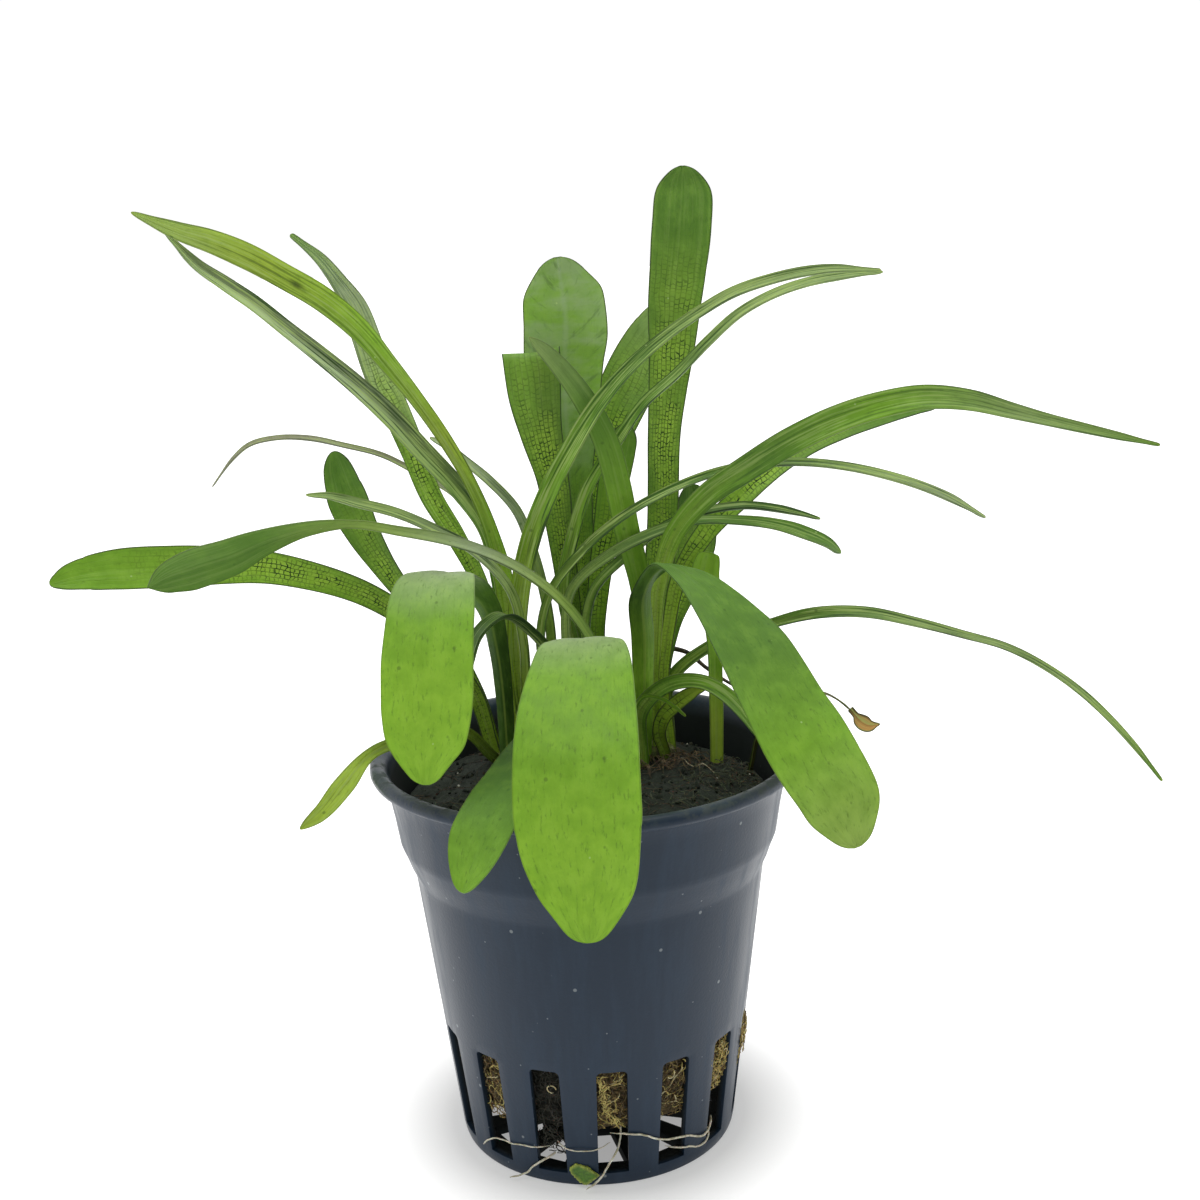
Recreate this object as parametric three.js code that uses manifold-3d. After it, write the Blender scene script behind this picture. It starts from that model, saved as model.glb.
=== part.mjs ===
// A young platyphylla sagittaria growing in a small slotted aquatic pot, in millimetres, +Z up.
// The origin is the middle of the pot's flat underside. -Y is the side that the plant shows best.
import * as THREE from 'three'
import { mergeVertices } from 'three/addons/utils/BufferGeometryUtils.js'
import Module from 'manifold-3d'

// Pot: moulded wall, step, collar and rolled lip
const POT_HEIGHT = 48.5
const LIP_RADIUS = 26
const LIP_INNER_RADIUS = 24.6
const BASE_RADIUS = 17.1
const STEP_HEIGHT = 34.6
const STEP_RADIUS = 21.3
const COLLAR_FOOT = { radius: 22.9, height: 38.6 }
const COLLAR_TOP = { radius: 24.3, height: 46.6 }
const WALL = 0.9
const FLOOR_THICKNESS = 1.2
const POT_SIDES = 60

// Slots round the foot of the wall, the first one just right of the middle of the front
const SLOT_COUNT = 15
const FIRST_SLOT_DEG = 4.8
const SLOT_WIDTH = 3.6
const SLOT_BOTTOM = 1.7
const SLOT_TOP = 15.6
const SLOT_CORNER = 0.6

// Openings in the floor, in a ring about the solid middle that the pot rests on
const FLOOR_OPENING_COUNT = 12
const FIRST_FLOOR_OPENING_DEG = 3
const FLOOR_OPENING = { inner: 6.6, outer: 14.2, innerWidth: 1.9, outerWidth: 4.8 }

// Growing medium: a loose plug that stands on the floor's middle, its underside rising to the wall
const GAP = 0.35
const SOIL_EDGE_HEIGHT = 43
const SOIL_MIDDLE_HEIGHT = 44.1
const SOIL_MIDDLE_RADIUS = 15
const PLUG_FOOT_RADIUS = 6
const PLUG_EDGE_HEIGHT = 7
const SOIL_SIDES = 30

// Crowns: the short stems that leaves and roots grow from
const CROWNS = {
  crown_left: { at: [-9.6, 9.6], radius: 3.2 },
  crown_centre: { at: [0.2, 8], radius: 3.4 },
  crown_right: { at: [8.6, 9], radius: 3.1 },
}
const CROWN_FOOT = SOIL_MIDDLE_HEIGHT + GAP
const CROWN_TOP = 45.6

// Leaves: thickness at the midrib from base to tip, and at the margin
const BASE_THICKNESS = 0.95
const TIP_THICKNESS = 0.6
const MARGIN_THICKNESS = 0.3
const MOST_THICKNESS_FOR_WIDTH = 0.6
const STATION_SPACING = 5.2
const FEWEST_STATIONS = 6
const TIP_CROWDING = 1.4
const POINTED_END = 0.25

const ROOT_RADIUS = 0.24
const ROOT_SIDES = 6
const ROOT_STAND_OFF = GAP + ROOT_RADIUS

const COLOUR = {
  pot: 0x3d4450,
  soil: 0x2b2c26,
  crown: 0x8a9a4a,
  blade: 0x7aa62f,
  upright: 0x5c7f2c,
  dark: 0x3f5f28,
  pale: 0x7b9b45,
  straw: 0x9a8452,
  root: 0xc9c3a2,
}

const TOWARDS_VIEWER = [0, -1, 0]
const AWAY_FROM_VIEWER = [0, 1, 0]

// Each leaf: the places its midrib passes, its width there, and how it is turned.
// face is the way its visible side looks at the base, and turn is how many degrees it has turned
// about its midrib at even steps from base to tip. fold is how far its margins rise, as a share of
// half its width.
const LEAVES = {
  // from the left crown
  leaf_long_upper_left: {
    midrib: [[-9.4, 8.3, 46.4], [-9, 8.5, 64], [-11, 6, 76], [-15.5, 3, 86.5], [-19, 0, 92.5], [-25, -4, 101],
      [-29.5, -6, 104.5], [-36, -9, 108.6], [-42, -11, 111], [-45, -12, 112.5]],
    widths: [1.9, 2.6, 1.6, 1.7, 1.9, 2.8, 2.8, 2.8, 1.8, 0.4],
    turn: [0, 20, 45],
    colour: COLOUR.pale,
  },
  leaf_folded_upper_left: {
    midrib: [[-9.5, 9.8, 46.4], [-10, 10.5, 66], [-12, 10, 75.5], [-16.5, 9, 81.5], [-22.5, 7.5, 89],
      [-27, 7, 93.5], [-32.5, 6, 98.5], [-37.5, 5, 103], [-42.5, 4, 106.8], [-45.5, 3, 110.5]],
    widths: [1.8, 1.8, 2.1, 2.5, 2.5, 2.3, 2.1, 2, 1.6, 0.5],
    turn: [0, 20, 50],
    fold: 0.35,
    colour: COLOUR.dark,
  },
  leaf_netted_upper_left: {
    midrib: [[-10, 11.3, 46.4], [-11.5, 13, 62.5], [-14, 14, 69.5], [-18.5, 16, 77.5], [-21, 17.5, 84.5],
      [-25, 20, 94], [-27, 22, 100.5], [-29.5, 23, 104.5], [-31.5, 24, 107], [-35, 25, 110]],
    widths: [1.8, 1.8, 2.3, 2.8, 3.3, 3.8, 3.1, 2.1, 1.6, 0.7],
    turn: [0, 15],
    colour: COLOUR.upright,
  },
  leaf_short_rounded_left: {
    midrib: [[-11.7, 10.2, 46.4], [-15, 10, 57], [-22, 10.5, 66], [-25.7, 11, 72], [-27.9, 12, 76.5],
      [-29, 12.5, 80], [-29.8, 13, 83.5]],
    widths: [1.7, 1.7, 2.4, 3.8, 4.8, 4.9, 1.4],
    colour: COLOUR.dark,
  },
  leaf_far_left: {
    midrib: [[-11.8, 8.5, 46], [-14, 8, 54], [-22.5, 5, 65.2], [-28, 3, 68.7], [-36.5, 0, 72], [-47.5, -4, 73.3],
      [-52.5, -6, 73.6], [-56.5, -7.5, 73.4], [-59, -8.5, 72.8]],
    widths: [1.7, 2.1, 2.7, 3.1, 3.8, 4.9, 4.5, 3.5, 0.8],
    turn: [0, 20, 35],
    colour: COLOUR.blade,
  },
  leaf_hanging_front_left: {
    midrib: [[-9.8, 6, 46.4], [-10, 4.5, 58], [-11.2, 0.5, 66.5], [-13.8, -4, 70.8], [-15.4, -9.5, 72.6],
      [-16, -14.5, 70.6], [-16.5, -18.5, 65.5], [-16.7, -20.5, 60], [-17.1, -21.5, 55.5], [-17.2, -22, 52.4]],
    widths: [1.9, 2.3, 3.4, 6, 8, 9.4, 10.3, 10, 7.4, 1.2],
    face: AWAY_FROM_VIEWER,
    turn: [0, -25, -25],
    colour: COLOUR.blade,
  },
  leaf_over_left_rim: {
    midrib: [[-11.9, 6.8, 45.6], [-13.5, 4, 49.4], [-18.5, 0, 50.8], [-23, -3.5, 50.6], [-26.5, -4.7, 49.6],
      [-28.7, -6, 46.7], [-31, -7, 44.2], [-33.5, -8, 42.5]],
    widths: [1.4, 1.4, 1.5, 1.6, 1.8, 2.6, 2.2, 0.5],
    turn: [20, 40],
    colour: COLOUR.pale,
  },
  leaf_long_arch_right: {
    midrib: [[-7.2, 7.6, 46.4], [-8, 6.8, 59], [-7, 6, 68], [-5, 5, 75], [-2, 3.5, 81.5], [3, 2, 89.5],
      [6.5, 1, 93.5], [11, 0, 97.3], [15.5, -2, 100.3], [19.5, -4, 102.4], [27.5, -7, 104.2], [33.5, -9, 104]],
    widths: [1.7, 2.3, 2.5, 2.5, 2.4, 2, 1.7, 1.5, 1.4, 1.4, 1.2, 0.4],
    turn: [0, -30, -60],
    fold: 0.3,
    colour: COLOUR.pale,
  },
  leaf_grass_thin_left: {
    midrib: [[-8, 13, 46.4], [-9, 16, 63.5], [-11.5, 18, 70.5], [-14.5, 20, 75.5], [-18.5, 22, 78],
      [-25, 24, 81.5], [-30.5, 25, 83], [-35.5, 26, 84], [-39.5, 27, 84], [-43.5, 28, 83], [-46, 29, 81],
      [-49, 30, 77.5]],
    widths: [0.9, 0.8, 0.8, 0.8, 0.8, 0.8, 0.8, 0.9, 0.9, 0.9, 0.8, 0.4],
    turn: [0, 40],
    colour: COLOUR.dark,
  },
  leaf_thin_low_left: {
    midrib: [[-7.2, 5.7, 46.4], [-7.5, 4, 64], [-9.5, 3.5, 69.5], [-12.5, 3, 72.5], [-16, 1.5, 75], [-20, 0, 77.5],
      [-24, -1.5, 79], [-27.5, -3, 80.5], [-30.5, -4, 81]],
    widths: [1.2, 1.2, 1.2, 1.3, 1.3, 1.3, 1.3, 1.1, 0.4],
    turn: [0, 40, 60],
    fold: 0.3,
    colour: COLOUR.dark,
  },
  // from the centre crown
  leaf_small_curl_left: {
    midrib: [[-4.4, 12, 46], [-4, 12.5, 61.5], [-5.5, 12.5, 69], [-7, 13, 74.5], [-11, 13.5, 79.5],
      [-13.5, 14.5, 81.5], [-16, 15.5, 83.5], [-18, 16.5, 84.5]],
    widths: [1.2, 1.2, 1.2, 1.2, 1.2, 1.1, 1, 0.4],
    turn: [0, 30],
    fold: 0.3,
    colour: COLOUR.dark,
  },
  leaf_hanging_front_centre: {
    midrib: [[0, 3.2, 46.4], [0.5, 1.6, 55], [0, -4, 61], [0, -11, 65], [0, -17, 65], [-0.5, -22.5, 62],
      [-1, -28, 56.5], [-1, -31, 49], [-0.5, -32, 43.5], [-0.5, -32.5, 40], [-0.5, -32.5, 38.4]],
    widths: [2.1, 2.7, 4, 7.6, 10, 11.8, 13.1, 12.9, 9.4, 5.1, 1.2],
    face: AWAY_FROM_VIEWER,
    colour: COLOUR.blade,
  },
  leaf_short_dark_arch: {
    midrib: [[-2.8, 3.9, 46.4], [-2.2, 1.5, 55], [-4.5, -1.5, 61.5], [-7.5, -4, 65.5], [-10, -6, 66.5],
      [-12, -8, 64.5], [-13, -9, 61.5], [-14, -9.5, 59]],
    widths: [1.6, 1.7, 1.9, 2.4, 3.2, 3.5, 2.8, 0.7],
    face: AWAY_FROM_VIEWER,
    turn: [0, -40, -60],
    colour: COLOUR.dark,
  },
  leaf_small_front_low: {
    midrib: [[-2.6, 2, 45.8], [-3.4, -2.5, 52.4], [-5.5, -12, 53.6], [-8.4, -21, 51.5], [-11, -25.4, 48.4],
      [-12.4, -27, 45.4], [-13.4, -28, 42.5]],
    widths: [1.6, 3, 5.2, 6.8, 7.4, 6.2, 1.2],
    face: AWAY_FROM_VIEWER,
    turn: [0, -18],
    colour: COLOUR.blade,
  },
  leaf_broad_upright: {
    midrib: [[0.6, 11.5, 46.4], [0.5, 11.5, 59], [0, 12, 69], [-0.7, 13, 79], [-0.9, 14, 86.5], [-0.9, 15, 94],
      [-0.5, 15.5, 98.5], [-0.9, 16.5, 103], [-1.2, 17, 106]],
    widths: [2, 2.5, 4, 5.6, 8, 9.9, 10.3, 8.4, 1.6],
    colour: COLOUR.upright,
  },
  leaf_folded_top: {
    midrib: [[-1.8, 9, 46.4], [-1, 9, 59.5], [-1.8, 8.5, 70], [-3, 8.3, 81.5], [-4, 8.3, 86], [-4.6, 8.3, 91],
      [-4.8, 9.3, 95.3], [-4.8, 11.3, 95.1], [-5, 12.3, 92], [-5, 12.4, 88]],
    widths: [1.9, 2.3, 3, 4.1, 5.2, 6.5, 7, 6, 4.4, 1],
    colour: COLOUR.upright,
  },
  leaf_broad_behind: {
    midrib: [[2.4, 13.2, 46.2], [1.5, 14, 58], [1.5, 16, 68], [3, 18, 79.5], [6.2, 20, 88], [9.8, 22, 94],
      [12.8, 23.5, 98], [15.8, 24.5, 101]],
    widths: [2, 2.3, 3.1, 4.9, 6.9, 7.3, 6.1, 1.3],
    turn: [0, -10],
    colour: COLOUR.upright,
  },
  leaf_lower_arch_right: {
    midrib: [[2.4, 7.5, 46.4], [-1, 7, 60], [-2, 6.5, 66.5], [0, 6.5, 75], [2, 6.5, 80], [4.5, 6.5, 83.4],
      [6.5, 6, 87], [9.5, 5.5, 90], [13, 5, 93], [16, 4.5, 96], [20.5, 3.5, 99.8], [26, 2.5, 102.2],
      [32, 1, 103.3], [35.5, 0, 103.5]],
    widths: [1.5, 1.6, 1.6, 1.6, 1.5, 1.5, 1.4, 1.3, 1.3, 1.3, 1.3, 1.3, 1.1, 0.5],
    turn: [0, -30, -60],
    fold: 0.3,
    colour: COLOUR.pale,
  },
  leaf_dark_rounded: {
    midrib: [[3.4, 10.4, 46.2], [1.8, 10.4, 60.5], [3, 10.6, 69.5], [4, 10.8, 75.5], [5, 11, 80.5], [6, 11.2, 84],
      [6.5, 11.2, 86]],
    widths: [1.8, 2.3, 3, 3.5, 3.9, 3.4, 1],
    colour: COLOUR.dark,
  },
  leaf_long_narrow_right: {
    midrib: [[-2.2, 5.8, 46.4], [-5, 4.5, 63], [-2.5, 3.5, 68.5], [1.5, 3, 73], [4.5, 2.5, 75.5], [11, 3.5, 78.8],
      [17.5, 4.5, 80.8], [24.5, 3.5, 81.7], [31, 2, 81.3], [38, 0, 79.7], [43, -2.5, 77.8], [46.5, -5, 75.8]],
    widths: [1.3, 1.1, 1.1, 1.1, 1.1, 1.1, 1.1, 1.1, 1.1, 1.2, 1.2, 0.5],
    turn: [0, -40, -60],
    fold: 0.3,
    colour: COLOUR.dark,
  },
  leaf_narrow_right: {
    midrib: [[1.6, 4.9, 46.4], [-2, 4, 62.5], [-1, 4, 67], [2.5, 3.8, 70.5], [6.5, 3.4, 72.5], [11, 6.2, 74],
      [15.5, 6.8, 74.5], [23.5, 7.5, 73.6], [27.5, 8.5, 72.2], [30.5, 9.3, 70.8], [32.5, 10, 69.3]],
    widths: [1.4, 1.2, 1.2, 1.4, 1.4, 1.4, 1.2, 1.7, 2.4, 2.3, 0.8],
    turn: [0, -40, -50],
    colour: COLOUR.dark,
  },
  leaf_thin_right: {
    midrib: [[3.4, 6.3, 46.4], [0.5, 6, 63.5], [3.5, 7, 68.5], [5.5, 7.5, 70], [10, 8, 73.3], [14, 8, 75],
      [21, 8.5, 75.8], [26, 9.5, 74.8], [30, 10.5, 73.5]],
    widths: [1.3, 1.2, 1.2, 1.3, 1.2, 1.1, 1.2, 1.2, 0.5],
    turn: [0, -40, -60],
    fold: 0.3,
    colour: COLOUR.dark,
  },
  leaf_twisted_strap_left: {
    midrib: [[3.4, 3.4, 46.2], [2.6, 2.6, 56], [1, 1.6, 61.5], [-3.5, 0, 68], [-9.5, -4, 73], [-13.5, -7, 75.4],
      [-17.5, -9.5, 77], [-21, -12, 78.2], [-25, -14, 79.3], [-30.5, -16, 79], [-33.5, -17, 78.2],
      [-37, -18.5, 77], [-40.5, -20, 76.2], [-43, -21, 75.5], [-44.5, -21.5, 74.8]],
    widths: [1.4, 1.4, 1.3, 1.3, 1.3, 1.3, 1.2, 1, 1, 2.2, 3.3, 4.7, 5, 3.7, 0.8],
    turn: [0, 50, 60, 10, 0],
    fold: 0.2,
    colour: COLOUR.dark,
  },
  // from the right crown
  leaf_plain_light: {
    midrib: [[7.4, 8.8, 46.4], [8, 8.2, 60], [7.4, 6.8, 67], [6.2, 5.6, 72.5], [5, 4.8, 79.5], [3.5, 4.2, 85.5],
      [1.3, 4, 90], [-1.2, 3.5, 93.7], [-3.2, 3, 96], [-4.6, 3, 97.3]],
    widths: [1.6, 2.1, 2.6, 3, 3.1, 3, 2.7, 2.2, 1.6, 0.4],
    turn: [0, 10],
    colour: COLOUR.pale,
  },
  leaf_tall_upright: {
    midrib: [[8.2, 11.6, 46.4], [9, 12, 59.5], [10.5, 12.5, 71], [11, 13, 80.5], [11.4, 13.5, 87],
      [12.3, 14, 93.5], [12.8, 14, 99.5], [13.7, 14.5, 106.5], [14.2, 15, 111.5], [14.4, 15.5, 114.8],
      [14.4, 15.5, 116.3]],
    widths: [2.4, 3.1, 3.8, 3.9, 4.3, 5.4, 6.4, 7.1, 7.2, 5.2, 1.2],
    colour: COLOUR.upright,
  },
  leaf_hanging_front_right: {
    midrib: [[7.2, 6.3, 46.4], [7.5, 4.5, 59], [7.5, 2.5, 64.5], [7.5, 0.5, 68.5], [9, -2, 71], [11.8, -6, 71],
      [15, -11, 68.5], [18.5, -15.5, 64], [21.3, -19.5, 59], [24.2, -23, 54], [26.5, -25.5, 50],
      [27.5, -26.5, 47], [28, -27, 45.4]],
    widths: [2.2, 2.8, 2.9, 3.2, 4, 5.6, 7.8, 9.4, 10.2, 10, 8.6, 5.4, 1.2],
    face: AWAY_FROM_VIEWER,
    turn: [0, 40, 75],
    colour: COLOUR.blade,
  },
  leaf_big_arch_right: {
    midrib: [[9.4, 8.2, 46.4], [8.8, 7.2, 53], [9.1, 6.2, 60], [9.7, 5, 67.5], [12, 4, 74.2], [15, 3, 77.7],
      [18, 2, 79.9], [22.5, 0, 83.2], [28.5, -2.5, 86.7], [34, -5, 88.9], [38.5, -7, 89.9], [42.5, -8, 89.8],
      [46.5, -9, 88.8], [52, -10.5, 87.3], [58, -12.5, 85.8], [63, -13.5, 84.6]],
    widths: [1.8, 1.4, 1.5, 2, 2.5, 2.8, 3, 3.2, 3.2, 3, 2.8, 2.5, 2, 1.4, 1, 0.4],
    turn: [0, -25, -45],
    fold: 0.2,
    colour: COLOUR.upright,
  },
  leaf_netted_right: {
    midrib: [[10.6, 9.9, 46.2], [10, 9.5, 52.5], [10.7, 9.2, 59], [11.6, 9, 64.5], [13.2, 9.4, 68.8], [15.8, 10, 72.3],
      [18.7, 10.5, 75], [23, 12, 78.5], [28, 14, 81.5], [33, 16, 83.2], [39.5, 18.5, 84.6], [46.5, 21, 85.5]],
    widths: [1.7, 1.6, 1.6, 1.8, 2.2, 2.6, 2.8, 2.7, 2.5, 2.2, 1.7, 0.5],
    turn: [0, -30],
    colour: COLOUR.upright,
  },
  leaf_dark_behind_right: {
    midrib: [[10.4, 13.2, 45.9], [10.5, 14, 56.5], [13, 16, 63], [15, 18, 68.5], [15.5, 20, 73], [15, 21, 76.5]],
    widths: [1.8, 2.1, 3.4, 4.9, 5.3, 1.8],
    colour: COLOUR.dark,
  },
  leaf_low_far_right: {
    midrib: [[10.9, 11.7, 45.8], [10.4, 11.5, 51.5], [12.7, 11.3, 54.8], [15.7, 11, 57.2], [19.6, 10.4, 59.2],
      [24.5, 9, 60.7], [28, 8, 61.8], [31.5, 7, 62.5], [36, 5, 62.4], [40, 3, 61.8], [44.5, 1, 60.8],
      [50, -2, 59.6], [54, -4, 57.7], [57.5, -6.5, 55.3], [60.5, -9, 52.4], [63, -11, 49.4], [65.5, -12.5, 46]],
    widths: [1.5, 1.6, 1.6, 1.5, 1.4, 1.3, 1.5, 1.7, 1.5, 1.3, 1.1, 1, 1, 1, 0.9, 0.8, 0.4],
    turn: [-20, -50, -60],
    fold: 0.2,
    colour: COLOUR.dark,
  },
  leaf_low_dark_arch: {
    midrib: [[7, 4.4, 45.8], [6.8, 3.9, 51], [8, 3, 53.7], [10.5, 2, 55.3], [13, 0.5, 56], [15, -1, 56],
      [17, -2.5, 55], [19, -5, 53], [20.3, -6.8, 51]],
    widths: [1.5, 2, 2.2, 1.9, 1.7, 1.8, 1.9, 1.6, 0.6],
    turn: [0, -50, -80],
    colour: COLOUR.dark,
  },
  leaf_olive_stub: {
    midrib: [[9.8, 6.2, 45.6], [9.2, 5.5, 48.5], [10, 5.2, 50.6], [11.8, 5, 52.3], [13.5, 4.8, 53.4],
      [15, 4.5, 54]],
    widths: [1.5, 1.7, 1.9, 1.9, 1.5, 0.6],
    turn: [0, -20],
    colour: COLOUR.straw,
  },
  leaf_upright_stalk_right: {
    midrib: [[16.4, 6.2, 44.3], [16.5, 6.6, 48], [16.5, 7, 55], [16.5, 7, 59.5], [16, 7.5, 64.5], [15.5, 7.5, 67.5],
      [16, 8, 70]],
    widths: [1.6, 1.7, 1.7, 2, 3, 3.5, 2.6],
    colour: COLOUR.blade,
  },
  stalk_thin_dark: {
    midrib: [[5.6, 2.4, 45], [5.8, 2.3, 51], [6.7, 1.9, 53.6], [8.5, 1, 54.2], [10.5, 0, 53.4], [12, -1, 52.3]],
    widths: [0.6, 0.6, 0.5, 0.5, 0.5, 0.4],
    colour: COLOUR.dark,
  },
  dead_stem: {
    midrib: [[20.5, 4, 43.9], [20.7, 3.4, 46.5], [22, 1, 50.5], [24.5, -3, 54.3], [27.5, -6, 56], [29.4, -8.6, 55.6],
      [30.4, -9.3, 54.8]],
    widths: [0.6, 0.6, 0.6, 0.6, 0.6, 0.6, 0.6],
    colour: COLOUR.straw,
  },
  dead_leaf_tip: {
    midrib: [[31, -9.6, 54.2], [31.6, -9.8, 53.5], [32.5, -10, 53], [33.5, -10.1, 53.1]],
    widths: [0.7, 1.7, 1.5, 0.4],
    colour: COLOUR.straw,
  },
}

// Each root that has grown out through the slots: degrees round the wall from the front, height, and
// how far it lies beyond its place against the wall, negative inside a slot.
const ROOTS = {
  root_right_long: [[55, 4, -1.1], [51, 3.7, -0.4], [46.5, 3.3, 0.1], [34, 4.6, 0.1], [24, 5.2, 0.1],
    [15, 6.6, 0.1], [9.5, 7, 0.05], [6.5, 6.9, -0.5], [4, 6.7, -1.1]],
  root_right_short: [[53, 2.7, -1.1], [50, 2.5, -0.4], [46.5, 2.1, 0.1], [43, 1.9, 0.1], [35.5, 2.9, 0.1],
    [31, 3.1, -0.4], [28, 3.3, -1.1]],
  root_front: [[8, 5.4, -1.1], [5.5, 4.2, -0.1], [2.5, 3, 0.6], [-1, 1.6, 1.2], [-6, 0.5, 1.4]],
  root_bridge: [[-17.5, 5.4, -1.1], [-15, 5.3, -0.3], [-12.5, 5.2, 0.1], [-2, 5.2, 0.1], [1, 5.3, -0.3],
    [4, 5.3, -1.1]],
  root_left: [[-54, 1.8, 0.1], [-50, 3.2, 0.1], [-44, 4.1, 0.1], [-35, 4.4, 0.1], [-26, 4.8, 0.1],
    [-22.5, 4.7, -0.4], [-20.5, 4.5, -1.1]],
  root_left_low: [[-19, 3.6, -1.1], [-22, 3.2, -0.3], [-26, 2.3, 0.2], [-30, 1, 0.4], [-35, 0.5, 1.8]],
}

// A torn green leaf scrap stuck to the wall at the pot's foot: corners as (along the wall, height)
const SCRAP_CORNERS = [[-1.8, 2.6], [-1, 3.2], [0.4, 2.8], [1.7, 1.7], [0.2, 0.4], [-0.6, 0.7], [-1.7, 1.9]]
const SCRAP_THICKNESS = 0.35
const SCRAP_DEG = -6.4

const wasm = await Module()
wasm.setup()

function material(colour, roughness) {
  return new THREE.MeshStandardMaterial({ color: colour, roughness, metalness: 0 })
}

function named(name, geometry, colour, roughness = 0.6) {
  const mesh = new THREE.Mesh(geometry, material(colour, roughness))
  mesh.name = name
  return mesh
}

// A closed solid with shared corners and no zero-area triangles at the axis
function closed(geometry) {
  const bare = geometry.clone()
  for (const attribute of Object.keys(bare.attributes)) {
    if (attribute !== 'position') bare.deleteAttribute(attribute)
  }
  const merged = mergeVertices(bare, 1e-4)
  const corners = merged.index.array
  const kept = []
  for (let i = 0; i < corners.length; i += 3) {
    const [a, b, c] = corners.slice(i, i + 3)
    if (a !== b && b !== c && c !== a) kept.push(a, b, c)
  }
  merged.setIndex(kept)
  return merged
}

function toManifold(geometry) {
  const solid = closed(geometry)
  return new wasm.Manifold(new wasm.Mesh({
    numProp: 3,
    vertProperties: new Float32Array(solid.attributes.position.array),
    triVerts: new Uint32Array(solid.index.array),
  }))
}

function fromManifold(solid) {
  const mesh = solid.getMesh()
  const geometry = new THREE.BufferGeometry()
  geometry.setAttribute('position', new THREE.BufferAttribute(mesh.vertProperties, 3))
  geometry.setIndex(new THREE.BufferAttribute(mesh.triVerts, 1))
  return geometry
}

function turned(profile, sides) {
  return new THREE.LatheGeometry(profile.map(([r, z]) => new THREE.Vector2(r, z)), sides).rotateX(Math.PI / 2)
}

function wallRadius(height) {
  return BASE_RADIUS + (STEP_RADIUS - BASE_RADIUS) * height / STEP_HEIGHT
}

// The way out from the axis at an angle round the pot, measured from the front towards +X
function outward(degrees) {
  const angle = THREE.MathUtils.degToRad(degrees)
  return new THREE.Vector3(Math.sin(angle), -Math.cos(angle), 0)
}

// Stands a shape drawn as (along the wall, up) at a distance from the axis, its depth going outward
function stoodAt(geometry, degrees, distance) {
  const out = outward(degrees)
  const up = new THREE.Vector3(0, 0, 1)
  const along = new THREE.Vector3().crossVectors(up, out)
  const place = new THREE.Matrix4().makeBasis(along, up, out)
  return geometry.clone().applyMatrix4(place).translate(out.x * distance, out.y * distance, 0)
}

function potProfile() {
  return [
    [0, 0],
    [BASE_RADIUS - 0.3, 0],
    [BASE_RADIUS, 0.3],
    [STEP_RADIUS, STEP_HEIGHT],
    [STEP_RADIUS + 0.6, STEP_HEIGHT + 1.4],
    [COLLAR_FOOT.radius - 0.5, COLLAR_FOOT.height - 1.2],
    [COLLAR_FOOT.radius, COLLAR_FOOT.height],
    [COLLAR_TOP.radius, COLLAR_TOP.height],
    [LIP_RADIUS - 0.3, COLLAR_TOP.height + 0.3],
    [LIP_RADIUS, COLLAR_TOP.height + 0.9],
    [LIP_RADIUS - 0.1, POT_HEIGHT - 0.3],
    [LIP_RADIUS - 0.6, POT_HEIGHT],
    [LIP_INNER_RADIUS, POT_HEIGHT - 0.1],
    [LIP_INNER_RADIUS - 0.8, POT_HEIGHT - 1.2],
    [COLLAR_TOP.radius - WALL - 0.1, COLLAR_TOP.height - 1],
    [COLLAR_FOOT.radius - WALL, COLLAR_FOOT.height - 0.1],
    [STEP_RADIUS - WALL, STEP_HEIGHT - 0.1],
    [wallRadius(FLOOR_THICKNESS) - WALL, FLOOR_THICKNESS],
    [0, FLOOR_THICKNESS],
  ]
}

function slotCutter() {
  const half = SLOT_WIDTH / 2
  const shape = new THREE.Shape()
  shape.moveTo(-half, SLOT_BOTTOM)
  shape.lineTo(half, SLOT_BOTTOM)
  shape.lineTo(half, SLOT_TOP - SLOT_CORNER)
  shape.absarc(half - SLOT_CORNER, SLOT_TOP - SLOT_CORNER, SLOT_CORNER, 0, Math.PI / 2, false)
  shape.absarc(SLOT_CORNER - half, SLOT_TOP - SLOT_CORNER, SLOT_CORNER, Math.PI / 2, Math.PI, false)
  return new THREE.ExtrudeGeometry(shape, { depth: WALL * 8, bevelEnabled: false, curveSegments: 2 })
}

function floorCutter(degrees) {
  const { inner, outer, innerWidth, outerWidth } = FLOOR_OPENING
  const shape = new THREE.Shape([
    new THREE.Vector2(inner, -innerWidth / 2),
    new THREE.Vector2(outer, -outerWidth / 2),
    new THREE.Vector2(outer, outerWidth / 2),
    new THREE.Vector2(inner, innerWidth / 2),
  ])
  const block = new THREE.ExtrudeGeometry(shape, { depth: FLOOR_THICKNESS * 3, bevelEnabled: false })
  return block.translate(0, 0, -FLOOR_THICKNESS).rotateZ(THREE.MathUtils.degToRad(degrees - 90))
}

function pot() {
  let solid = toManifold(turned(potProfile(), POT_SIDES))
  const slot = slotCutter()
  for (let i = 0; i < SLOT_COUNT; i += 1) {
    const degrees = FIRST_SLOT_DEG + i * 360 / SLOT_COUNT
    solid = solid.subtract(toManifold(stoodAt(slot, degrees, BASE_RADIUS - WALL * 4)))
  }
  for (let i = 0; i < FLOOR_OPENING_COUNT; i += 1) {
    const degrees = FIRST_FLOOR_OPENING_DEG + i * 360 / FLOOR_OPENING_COUNT
    solid = solid.subtract(toManifold(floorCutter(degrees)))
  }
  return named('pot', fromManifold(solid), COLOUR.pot, 0.45)
}

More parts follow.
